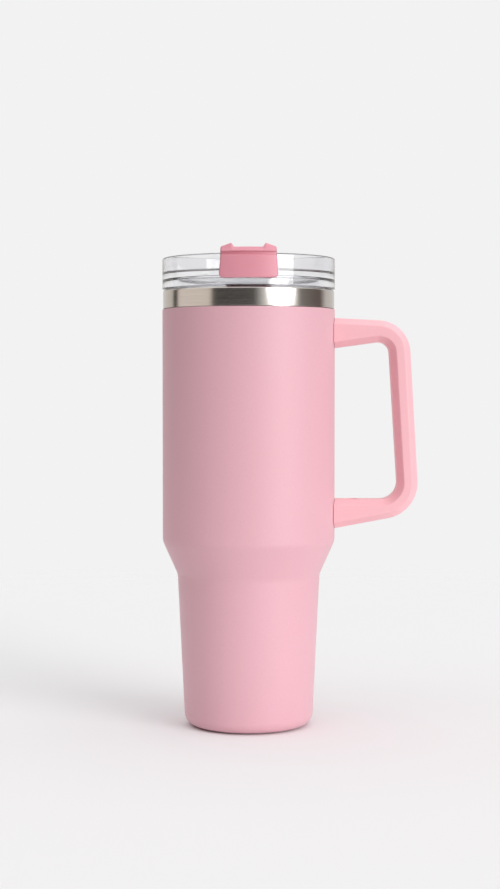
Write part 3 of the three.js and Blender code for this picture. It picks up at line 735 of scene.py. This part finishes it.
crest_radius = LIP_RADIUS - LIP_LEAN * (SCOOP_TOP - GROOVE_TOP)
foot_middle = (SKIRT_INSIDE + SKIRT_FRONT) / 2, cap_low[2]
crest_middle = (LIP_BACK + crest_radius) / 2, SCOOP_TOP
outside = rounded([
    foot_middle,
    (SKIRT_FRONT, cap_low[2], 0.9),
    (SKIRT_FRONT, GROOVE_FOOT, 0.6),
    (GROOVE_RADIUS, GROOVE_FOOT, 0.3),
    (GROOVE_RADIUS, GROOVE_TOP, 0.2),
    (LIP_RADIUS, GROOVE_TOP, 0.3),
    (crest_radius, SCOOP_TOP, LIP_ROUND_OVER),
    crest_middle,
])
inside = rounded([
    foot_middle,
    (SKIRT_INSIDE, cap_low[2], 0.5),
    (SKIRT_INSIDE, GROOVE_TOP, 0.3),
    (LIP_BACK, GROOVE_TOP, 0.3),
    (LIP_BACK, SCOOP_TOP, 0.8),
    crest_middle,
])
front_outline = np.concatenate([spread(outside, FRONT_POINTS), spread(inside, FRONT_POINTS)[-2:0:-1]])
print("cap front:", len(front_outline), "points, crest at radius", round(crest_radius, 1))

# %% The cap's front, carried round the lid
CAP_SIDE_ROUND = 0.9
SIDE_POINTS = 7
ACROSS_POINTS = 101
EAR_RISE = 2
EAR_INNER = 8.2
EAR_PEAK = 9.4
EAR_BLEND = 0.35
CREST_FOOT = GROOVE_TOP + 0.4


def half_width(z):
    """Half the cap's width at a height: it narrows in a straight line up to the finger groove, and the
    skirt's lower corners are quarter circles."""
    straight = np.interp(z, [cap_low[2], GROOVE_FOOT], [HALF_BOTTOM, HALF_TOP])
    short = np.clip(cap_low[2] + SKIRT_CORNER - z, 0, SKIRT_CORNER)
    return straight - SKIRT_CORNER + np.sqrt(SKIRT_CORNER**2 - short**2)


def ear_height(x):
    """How far the lip's crest stands above its scoop: the lower of a steep and a gentle slope, softly
    joined, and never below zero."""
    steep = (np.abs(x) - EAR_INNER) * EAR_RISE / (EAR_PEAK - EAR_INNER)
    gentle = (HALF_TOP - np.abs(x)) * EAR_RISE / (HALF_TOP - EAR_PEAK)
    lower = -EAR_BLEND * np.logaddexp(-steep / EAR_BLEND, -gentle / EAR_BLEND)
    return EAR_BLEND * np.logaddexp(lower / EAR_BLEND, 0) * EAR_RISE / (EAR_RISE - EAR_BLEND * np.log(2))


def cap_front():
    """Rows across the cap. At share u of the half width a point (r, z) of the outline goes to
    x = u * width(z), y = -sqrt(r^2 - x^2), so that it stays on its circle round the lid.

    The height rises by the ear's height, fully at the crest and not at all under the lip. At the last
    few rows the outline shrinks by a quarter circle, which rounds the cap's sides.
    """
    angle = np.linspace(0, np.pi / 2, SIDE_POINTS)
    none = np.zeros(ACROSS_POINTS)
    ends = np.ones(SIDE_POINTS - 1)
    share = np.concatenate([-ends, np.linspace(-1, 1, ACROSS_POINTS), ends])
    beyond = CAP_SIDE_ROUND * np.sin(angle)
    beyond = np.concatenate([-beyond[:0:-1], none, beyond[1:]])
    inset = CAP_SIDE_ROUND * (1 - np.cos(angle))
    inset = np.concatenate([inset[:0:-1], none, inset[1:]])
    after = np.roll(front_outline, -1, axis=0)
    area = np.sum(front_outline[:, 0] * after[:, 1] - front_outline[:, 1] * after[:, 0])
    inwards = np.sign(area) * leftwards(front_outline)
    profile = front_outline[None] + inwards[None] * inset[:, None, None]
    r, z = profile[..., 0], profile[..., 1]
    x = share[:, None] * (half_width(z) - CAP_SIDE_ROUND) + beyond[:, None]
    crest = np.clip((z - CREST_FOOT) / (SCOOP_TOP - CREST_FOOT), 0, 1)
    return np.stack([x, -np.sqrt(r**2 - x**2), z + crest * ear_height(x)], axis=-1)


flip = piece("pink_flip_cap", cap_front())

# %% The bar
BAR_TOP = RIM_TOP - 0.6
BAR_FRONT = SKIRT_INSIDE + 0.6
HEEL_END = cap_high[1]
RAMP_LENGTH = 7
RAMP_FOOT = RAMP_LENGTH - LIP_BACK
BAR_EDGE = 0.5
BAR_POINTS = 120

heel_middle = HEEL_END, (BAR_TOP + BAR_BOTTOM) / 2
ramp_top = SCOOP_TOP - SEAT_GAP
front_corner = -BAR_FRONT - OVER, ramp_top
top_path = rounded([
    heel_middle,
    (HEEL_END, BAR_TOP, 0.9),
    (RAMP_FOOT, BAR_TOP, 4),
    (-LIP_BACK, ramp_top, 0.6),
    front_corner,
])
bottom_path = rounded([
    heel_middle,
    (HEEL_END, BAR_BOTTOM, 3.2),
    (-BAR_FRONT - OVER, BAR_BOTTOM),
    front_corner,
])
bar_outline = np.concatenate([spread(top_path, BAR_POINTS), spread(bottom_path, BAR_POINTS)[-2:0:-1]])
bar = piece("bar", along_x(slab(bar_outline, -BAR_HALF, BAR_HALF, BAR_EDGE)))
within = piece("bar_end", rod(BAR_FRONT, (BAR_BOTTOM - OVER, SCOOP_TOP + OVER), flats=AROUND))
combined(bar, within, "INTERSECT")
combined(flip, bar, "UNION")

# %% The pocket under the bar, and its hinge bore
BAR_SIDE = 2.6
BAR_PLATE = 3.2
FRONT_BLOCK = 5
KNUCKLE = 5.5
POCKET_CORNER = 2

pocket_half = BAR_HALF - BAR_SIDE
pocket_front = FRONT_BLOCK - SKIRT_INSIDE
pocket = round_rectangle((-pocket_half, pocket_front), (pocket_half, HINGE_Y - KNUCKLE), POCKET_CORNER)
pocket = piece("pocket", slab(pocket, BAR_BOTTOM - 2 * OVER, BAR_TOP - BAR_PLATE))
combined(flip, pocket, "DIFFERENCE")
bore = along_x(rod(PIN_RADIUS + PIN_GAP, (-EAR_OUTSIDE, EAR_OUTSIDE))) + (0, HINGE_Y, HINGE_Z)
combined(flip, piece("cap_bore", bore), "DIFFERENCE")
settle(flat_faces_first(tidied(flip)), "cap", "pink_plastic", "flip_cap")

# %% [markdown]
# ## The stoppers
#
# Two soft pieces sit under the cap. The wide one closes the drinking hole and the small nub closes the
# air hole, so both have a rounded nose that finds its hole as the cap comes down.

# %% Stoppers
STOPPER_EDGE = 0.9
COLLAR_RADIUS = 3
COLLAR_EDGE = 0.4
NUB_RADIUS = VENT_RADIUS - SWING_GAP

stopper = round_rectangle(spout_low, spout_high, SPOUT_CORNER - SWING_GAP, HOLE_ARC)
stopper = piece("spout_stopper", slab(stopper, spout_low[2], spout_high[2], STOPPER_EDGE))
settle(stopper, "cap", "pink_silicone", "spout_plug")

nub_profile = rounded([
    (0, vent_low[2]),
    (NUB_RADIUS, vent_low[2], COLLAR_EDGE),
    (NUB_RADIUS, BAR_BOTTOM, COLLAR_EDGE),
    (COLLAR_RADIUS, BAR_BOTTOM, COLLAR_EDGE),
    (COLLAR_RADIUS, vent_high[2], COLLAR_EDGE),
    (0, vent_high[2]),
])
nub = piece("vent_nub", turned(nub_profile, HOLE_FLATS) + vent_place)
settle(nub, "cap", "pink_silicone", "vent_plug")

# %% [markdown]
# ## Making materials
#
# A material is a small tree of nodes. One helper adds a node and wires it, another turns a colour from
# a swatch book's hex value into the linear light that the renderer works in, and a third turns the size
# of a grain in millimetres into the scale of a noise pattern on object coordinates, which are in metres.

# %% Helpers for materials
def linear(swatch):
    """A hex colour as linear light: s / 12.92 up to 0.04045, and ((s + 0.055) / 1.055) ^ 2.4 above."""
    share = np.array([int(swatch[i : i + 2], 16) for i in (0, 2, 4)]) / 255
    light = np.where(share <= 0.04045, share / 12.92, ((share + 0.055) / 1.055) ** 2.4)
    return (*light.tolist(), 1.0)


def add(tree, kind, inputs=None, **settings):
    """Adds a node. An input's value is a number, a colour or another node's output to link to."""
    made = tree.nodes.new(kind)
    for name, value in settings.items():
        setattr(made, name, value)
    for name, value in (inputs or {}).items():
        if isinstance(value, bpy.types.NodeSocket):
            tree.links.new(value, made.inputs[name])
        else:
            made.inputs[name].default_value = value
    return made


def grain(size):
    """Noise scale for features of a size in millimetres."""
    return 1 / (size * MM)


def new_material(name):
    """A new material and its tree of nodes, still empty."""
    material = bpy.data.materials.new(name)
    material.use_nodes = True
    material.node_tree.nodes.clear()
    return material, material.node_tree


def paint(material, *painted):
    """Gives objects this material on all their faces."""
    for item in painted:
        if not item.material_slots:
            item.data.materials.append(material)
        for place in item.material_slots:
            place.material = material
    print(f"{material.name}: {', '.join(item.name for item in painted)}")


# Places of the colour mix node's sockets, which share one name.
FACTOR, COLOUR_A, COLOUR_B, COLOUR_OUT = 0, 6, 7, 2

# %% [markdown]
# ## Powder coat
#
# The shell is sprayed with dry polyester powder that melts into a skin in the oven. It leaves a matte
# surface with a fine, even grain, so highlights are broad and pale and never sharp, and the grain
# scatters a little light towards the edges, like a faint bloom. The real grain is about 0.4 mm across,
# too fine to show when the whole tumbler is in view, so it is drawn twice that size.

# %% Pink powder coat
COAT_GRAIN = 0.8
COAT_CLOUD = 14

pink_coat, tree = new_material("pink_polyester_powder_coat")
place = add(tree, "ShaderNodeTexCoord").outputs["Object"]
grains = add(tree, "ShaderNodeTexNoise", {"Vector": place, "Scale": grain(COAT_GRAIN), "Detail": 3.0})
cloud = add(tree, "ShaderNodeTexNoise", {"Vector": place, "Scale": grain(COAT_CLOUD), "Detail": 2.0})
tone = add(tree, "ShaderNodeMix", {
    FACTOR: grains.outputs[0],
    COLOUR_A: linear("e0aab6"),
    COLOUR_B: linear("e8b5bf"),
}, data_type="RGBA")
matte = add(tree, "ShaderNodeMapRange", {"Value": cloud.outputs[0], "To Min": 0.46, "To Max": 0.54})
bump = add(tree, "ShaderNodeBump", {"Height": grains.outputs[0], "Strength": 0.35, "Distance": 0.05 * MM})
surface = add(tree, "ShaderNodeBsdfPrincipled", {
    "Base Color": tone.outputs[COLOUR_OUT],
    "Roughness": matte.outputs[0],
    "IOR": 1.5,
    "Sheen Weight": 0.22,
    "Sheen Roughness": 0.45,
    "Normal": bump.outputs[0],
})
add(tree, "ShaderNodeOutputMaterial", {"Surface": surface.outputs[0]})
paint(pink_coat, shell)

# %% [markdown]
# ## Brushed stainless steel
#
# The band is 18/8 stainless steel, finished with an abrasive belt while it turns. The belt leaves fine
# lines round the band. They blur reflections up and down but hardly sideways, which is what makes the
# upright dark and bright stripes on a brushed cylinder. Real belt lines are less than a tenth of a
# millimetre high, too fine to show here, so the noise pattern that draws them is squeezed to about a
# third of a millimetre. The reflection itself is stretched across the lines.

# %% Brushed steel
LINE_LENGTH = 30
LINE_HEIGHT = 0.35

brushed_steel, tree = new_material("brushed_stainless_steel")
place = add(tree, "ShaderNodeTexCoord").outputs["Object"]
squeezed = add(tree, "ShaderNodeMapping", {"Vector": place, "Scale": (1, 1, LINE_LENGTH / LINE_HEIGHT)})
lines = add(tree, "ShaderNodeTexNoise", {
    "Vector": squeezed.outputs[0],
    "Scale": grain(LINE_LENGTH),
    "Detail": 4.0,
    "Roughness": 0.6,
})
tone = add(tree, "ShaderNodeMix", {
    FACTOR: lines.outputs[0],
    COLOUR_A: linear("cfcac5"),
    COLOUR_B: linear("e8e5e1"),
}, data_type="RGBA")
polish = add(tree, "ShaderNodeMapRange", {"Value": lines.outputs[0], "To Min": 0.17, "To Max": 0.25})
bump = add(tree, "ShaderNodeBump", {"Height": lines.outputs[0], "Strength": 0.2, "Distance": 0.01 * MM})
along = add(tree, "ShaderNodeTangent", direction_type="RADIAL", axis="Z")
surface = add(tree, "ShaderNodeBsdfPrincipled", {
    "Base Color": tone.outputs[COLOUR_OUT],
    "Metallic": 1.0,
    "Roughness": polish.outputs[0],
    "Anisotropic": 0.7,
    "Anisotropic Rotation": 0.25,
    "Tangent": along.outputs[0],
    "Normal": bump.outputs[0],
})
add(tree, "ShaderNodeOutputMaterial", {"Surface": surface.outputs[0]})
paint(brushed_steel, liner)

# %% [markdown]
# ## Moulded plastic
#
# The handle, the screw covers and the flip cap are polypropylene from a spark-eroded mould. The mould's
# fine matt texture gives a satin gloss, and the plastic lets a little light in, so that its shadows
# stay warm. The real texture is about 0.1 mm across and would not show, so it is drawn coarser. The cap
# is moulded in a deeper shade than the handle.

# %% Satin polypropylene
MOULD_TEXTURE = 0.6
GLOW_DEPTH = 1.2


def satin_plastic(name, light, dark, roughness):
    """Polypropylene with a fine mould texture, in one shade with a slight cloudiness."""
    material, tree = new_material(name)
    place = add(tree, "ShaderNodeTexCoord").outputs["Object"]
    texture = add(tree, "ShaderNodeTexNoise", {
        "Vector": place,
        "Scale": grain(MOULD_TEXTURE),
        "Detail": 2.0,
    })
    tone = add(tree, "ShaderNodeMix", {
        FACTOR: texture.outputs[0],
        COLOUR_A: linear(dark),
        COLOUR_B: linear(light),
    }, data_type="RGBA")
    bump = add(tree, "ShaderNodeBump", {
        "Height": texture.outputs[0],
        "Strength": 0.25,
        "Distance": 0.03 * MM,
    })
    surface = add(tree, "ShaderNodeBsdfPrincipled", {
        "Base Color": tone.outputs[COLOUR_OUT],
        "Roughness": roughness,
        "IOR": 1.49,
        "Subsurface Weight": 0.15,
        "Subsurface Radius": (1.0, 0.45, 0.4),
        "Subsurface Scale": GLOW_DEPTH * MM,
        "Normal": bump.outputs[0],
    })
    add(tree, "ShaderNodeOutputMaterial", {"Surface": surface.outputs[0]})
    return material


covers = [item for item in bpy.data.objects if item.name.endswith("_screw_cover")]
paint(satin_plastic("satin_pink_polypropylene", "fcc3ca", "f8bbc3", 0.4), handle, *covers)
paint(satin_plastic("deep_pink_polypropylene", "e79dab", "e093a2", 0.36), flip)

# %% [markdown]
# ## Clear lid
#
# The lid is a clear copolyester, moulded between polished faces. It is the shape that shows it: light
# bends at the rim, the step and the deck's edge and leaves dark and bright lines there. The slight
# waviness that moulding leaves in thick clear walls keeps those lines from being perfectly straight.

# %% Clear copolyester
FLOW_WAVE = 9

clear, tree = new_material("clear_moulded_copolyester")
place = add(tree, "ShaderNodeTexCoord").outputs["Object"]
wave = add(tree, "ShaderNodeTexNoise", {"Vector": place, "Scale": grain(FLOW_WAVE), "Detail": 1.0})
bump = add(tree, "ShaderNodeBump", {"Height": wave.outputs[0], "Strength": 0.25, "Distance": 0.1 * MM})
surface = add(tree, "ShaderNodeBsdfPrincipled", {
    "Base Color": linear("f8f8fa"),
    "Roughness": 0.03,
    "IOR": 1.57,
    "Transmission Weight": 1.0,
    "Normal": bump.outputs[0],
})
add(tree, "ShaderNodeOutputMaterial", {"Surface": surface.outputs[0]})
paint(clear, lid)

# %% [markdown]
# ## Silicone
#
# The seal, the stoppers and the foot are moulded silicone rubber. It is soft to the eye: no sharp
# highlight, a faint dusty bloom and a little light passing through the pale ones.

# %% Silicone rubber
BLOOM = 1.5


def silicone(name, shade, dust):
    """Silicone rubber in one shade, with a faint cloud of dust over it."""
    material, tree = new_material(name)
    place = add(tree, "ShaderNodeTexCoord").outputs["Object"]
    cloud = add(tree, "ShaderNodeTexNoise", {"Vector": place, "Scale": grain(BLOOM), "Detail": 3.0})
    tone = add(tree, "ShaderNodeMix", {
        FACTOR: cloud.outputs[0],
        COLOUR_A: linear(shade),
        COLOUR_B: linear(dust),
    }, data_type="RGBA")
    bump = add(tree, "ShaderNodeBump", {"Height": cloud.outputs[0], "Strength": 0.1, "Distance": 0.02 * MM})
    surface = add(tree, "ShaderNodeBsdfPrincipled", {
        "Base Color": tone.outputs[COLOUR_OUT],
        "Roughness": 0.55,
        "IOR": 1.41,
        "Subsurface Weight": 0.2,
        "Subsurface Scale": GLOW_DEPTH * MM,
        "Normal": bump.outputs[0],
    })
    add(tree, "ShaderNodeOutputMaterial", {"Surface": surface.outputs[0]})
    return material


paint(silicone("white_silicone_rubber", "e4e1e2", "eceaea"), seal)
paint(silicone("pink_silicone_rubber", "e2a3b1", "e9b0bc"), bpy.data.objects["spout_stopper"], nub)
paint(silicone("grey_silicone_rubber", "8b888a", "959294"), pad)

# %% [markdown]
# ## Inside metals
#
# These pieces are hidden until the tumbler is taken apart, and each still gets its own finish: pressed
# and turned steel with a fine satin grain, copper foil with the crinkle of a hand-wrapped sheet, and a
# dull drop of solder.

# %% Pressed steel, copper foil and solder
def worked_metal(name, light, dark, roughness, size, depth):
    """A metal whose dents or scratches are one noise pattern of a size and a depth in millimetres."""
    material, tree = new_material(name)
    place = add(tree, "ShaderNodeTexCoord").outputs["Object"]
    marks = add(tree, "ShaderNodeTexNoise", {"Vector": place, "Scale": grain(size), "Detail": 4.0})
    tone = add(tree, "ShaderNodeMix", {
        FACTOR: marks.outputs[0],
        COLOUR_A: linear(dark),
        COLOUR_B: linear(light),
    }, data_type="RGBA")
    bump = add(tree, "ShaderNodeBump", {
        "Height": marks.outputs[0],
        "Strength": 0.5,
        "Distance": depth * MM,
    })
    surface = add(tree, "ShaderNodeBsdfPrincipled", {
        "Base Color": tone.outputs[COLOUR_OUT],
        "Metallic": 1.0,
        "Roughness": roughness,
        "Normal": bump.outputs[0],
    })
    add(tree, "ShaderNodeOutputMaterial", {"Surface": surface.outputs[0]})
    return material


steel_parts = ["getter", "outer_bottom", "upper_bracket", "lower_bracket", "upper_screw", "lower_screw"]
pressed_steel = worked_metal("pressed_stainless_steel", "cbc8c5", "bdbab8", 0.34, 0.8, 0.01)
paint(pressed_steel, bpy.data.objects["steel_pin"], *[nodes[name] for name in steel_parts])
paint(worked_metal("wrapped_copper_foil", "d99a70", "c98a5e", 0.28, 6, 0.2), nodes["radiation_foil"])
paint(worked_metal("cast_solder", "8d8a86", "75726e", 0.5, 1.5, 0.05), nodes["vacuum_seal"])

# %% [markdown]
# ## Floor and light
#
# The tumbler stands on a pale sweep. The light is soft and comes from three places: a broad one
# overhead, a large low softbox to the right of the camera, and the pale room all round. The floor fades
# into the room's colour at its edge, so no horizon shows.
#
# The steel needs something to reflect, so the room is not equally bright in mirrors: it is dark behind
# the camera, where a studio is unlit, bright at the softbox, and warm grey on the left. The overhead
# light itself is left out of mirrors, because the room's bright ceiling stands for it there. A ray that
# the clear lid bends steeply up or down meets a dark blue-grey, which draws the thin dark lines that
# clear plastic has along its edges.

# %% Pale floor
FLOOR_RADIUS = 900
FLOOR_SOLID = 0.62
FLOOR_RINGS = 12

rings = np.linspace(0, FLOOR_RADIUS, FLOOR_RINGS)
floor_angle = np.linspace(0, 2 * np.pi, AROUND, endpoint=False)
reach, turn = np.meshgrid(rings[1:], floor_angle, indexing="ij")
floor_points = np.stack([reach * np.cos(turn), reach * np.sin(turn), 0 * reach], axis=-1) * MM
floor_mesh = bpy.data.meshes.new("floor")
floor_points = np.concatenate([floor_points.reshape(-1, 3), [[0, 0, 0]]])
centre = len(floor_points) - 1
step = np.arange(AROUND)
middle = np.stack([step, np.roll(step, -1), np.full(AROUND, centre)], axis=1)
rest = quads_on(FLOOR_RINGS - 1, AROUND, False)[:, ::-1]
floor_mesh.from_pydata(floor_points.tolist(), [], middle.tolist() + rest.tolist())
floor = bpy.data.objects.new("floor", floor_mesh)
bpy.context.scene.collection.objects.link(floor)

pale_floor, tree = new_material("pale_paper_sweep")
place = add(tree, "ShaderNodeTexCoord").outputs["Object"]
distance = add(tree, "ShaderNodeVectorMath", {0: place}, operation="LENGTH")
fade = add(tree, "ShaderNodeMapRange", {
    "Value": distance.outputs["Value"],
    "From Min": FLOOR_SOLID * FLOOR_RADIUS * MM,
    "From Max": FLOOR_RADIUS * MM,
}, interpolation_type="SMOOTHSTEP")
paper = add(tree, "ShaderNodeBsdfDiffuse", {"Color": (0.93, 0.925, 0.93, 1)})
clear_edge = add(tree, "ShaderNodeBsdfTransparent")
surface = add(tree, "ShaderNodeMixShader", {
    0: fade.outputs[0],
    1: paper.outputs[0],
    2: clear_edge.outputs[0],
})
add(tree, "ShaderNodeOutputMaterial", {"Surface": surface.outputs[0]})
paint(pale_floor, floor)

# %% Lights
def soft_light(name, strength, width, side, height, in_mirrors):
    """A far, broad light: side and height are its direction in degrees, to the right of the camera's
    side of the object and above the floor, and width is how broad it looks. It shows up in mirrors and
    gloss only if in_mirrors is true."""
    light = bpy.data.lights.new(name, "SUN")
    light.energy = strength
    light.angle = math.radians(width)
    made = bpy.data.objects.new(name, light)
    made.rotation_euler = (math.radians(90 - height), 0, math.radians(side))
    made.visible_glossy = in_mirrors
    bpy.context.scene.collection.objects.link(made)
    return made


soft_light("softbox", strength=1.9, width=38, side=45, height=14, in_mirrors=True)
soft_light("overhead", strength=1.75, width=100, side=0, height=90, in_mirrors=False)

# %% The room
ROOM_CAMERA = linear("f2f2f2")
ROOM_FILL = (0.25, 0.25, 0.25, 1)
OVERHEAD_GLOSS = (1.1, 1.1, 1.1, 1)
STEEP_DARK = (0.09, 0.09, 0.13, 1)
# How steeply a direction points (its Z, up to 1) where the ceiling, or the dark, begins and is full.
CEILING_SLOPE = (0.35, 0.7)
STEEP_SLOPE = (0.35, 0.6)
# What a mirror sees all round: degrees to the right of the camera's side, and brightness.
ROOM_RING = [
    (-180, 0.74, 0.73, 0.70),
    (-123, 0.60, 0.56, 0.52),
    (-119, 0.06, 0.05, 0.04),
    (-112, 0.06, 0.05, 0.04),
    (-107, 0.78, 0.70, 0.65),
    (-53, 0.74, 0.66, 0.59),
    (-48, 0.05, 0.045, 0.04),
    (8, 0.06, 0.055, 0.05),
    (26, 0.80, 0.78, 0.75),
    (64, 0.80, 0.78, 0.75),
    (72, 0.20, 0.18, 0.165),
    (112, 0.12, 0.09, 0.08),
    (126, 0.62, 0.58, 0.56),
    (180, 0.74, 0.73, 0.71),
]

room = bpy.data.worlds.new("studio")
room.use_nodes = True
bpy.context.scene.world = room
tree = room.node_tree
tree.nodes.clear()
way = add(tree, "ShaderNodeSeparateXYZ", {0: add(tree, "ShaderNodeTexCoord").outputs["Generated"]})
front = add(tree, "ShaderNodeMath", {0: way.outputs["Y"], 1: -1.0}, operation="MULTIPLY")
side = add(tree, "ShaderNodeMath", {0: way.outputs["X"], 1: front.outputs[0]}, operation="ARCTAN2")
share = add(tree, "ShaderNodeMapRange", {
    "Value": side.outputs[0],
    "From Min": -math.pi,
    "From Max": math.pi,
})
ring = add(tree, "ShaderNodeValToRGB", {"Fac": share.outputs[0]})
stops = ring.color_ramp.elements
while len(stops) < len(ROOM_RING):
    stops.new(0.5)
for stop, (degrees, *colour) in zip(stops, ROOM_RING):
    stop.position = degrees / 360 + 0.5
    stop.color = (*colour, 1)
height = add(tree, "ShaderNodeMapRange", {
    "Value": way.outputs["Z"],
    "From Min": CEILING_SLOPE[0],
    "From Max": CEILING_SLOPE[1],
})
mirrored = add(tree, "ShaderNodeMix", {
    FACTOR: height.outputs[0],
    COLOUR_A: ring.outputs[0],
    COLOUR_B: OVERHEAD_GLOSS,
}, data_type="RGBA")
ray = add(tree, "ShaderNodeLightPath")
seen = add(tree, "ShaderNodeMath", {
    0: ray.outputs["Is Camera Ray"],
    1: ray.outputs["Is Transmission Ray"],
}, operation="MAXIMUM")
lit = add(tree, "ShaderNodeMix", {
    FACTOR: ray.outputs["Is Glossy Ray"],
    COLOUR_A: ROOM_FILL,
    COLOUR_B: mirrored.outputs[COLOUR_OUT],
}, data_type="RGBA")
slope = add(tree, "ShaderNodeMath", {0: way.outputs["Z"]}, operation="ABSOLUTE")
steep = add(tree, "ShaderNodeMapRange", {
    "Value": slope.outputs[0],
    "From Min": STEEP_SLOPE[0],
    "From Max": STEEP_SLOPE[1],
})
bent = add(tree, "ShaderNodeMath", {
    0: steep.outputs[0],
    1: ray.outputs["Is Transmission Ray"],
}, operation="MULTIPLY")
behind = add(tree, "ShaderNodeMix", {
    FACTOR: bent.outputs[0],
    COLOUR_A: ROOM_CAMERA,
    COLOUR_B: STEEP_DARK,
}, data_type="RGBA")
shown = add(tree, "ShaderNodeMix", {
    FACTOR: seen.outputs[0],
    COLOUR_A: lit.outputs[COLOUR_OUT],
    COLOUR_B: behind.outputs[COLOUR_OUT],
}, data_type="RGBA")
light = add(tree, "ShaderNodeBackground", {"Color": shown.outputs[COLOUR_OUT]})
add(tree, "ShaderNodeOutputWorld", {"Surface": light.outputs[0]})
bpy.context.scene.view_settings.view_transform = "Standard"
print("room:", len(ROOM_RING), "stops round the mirror ring")
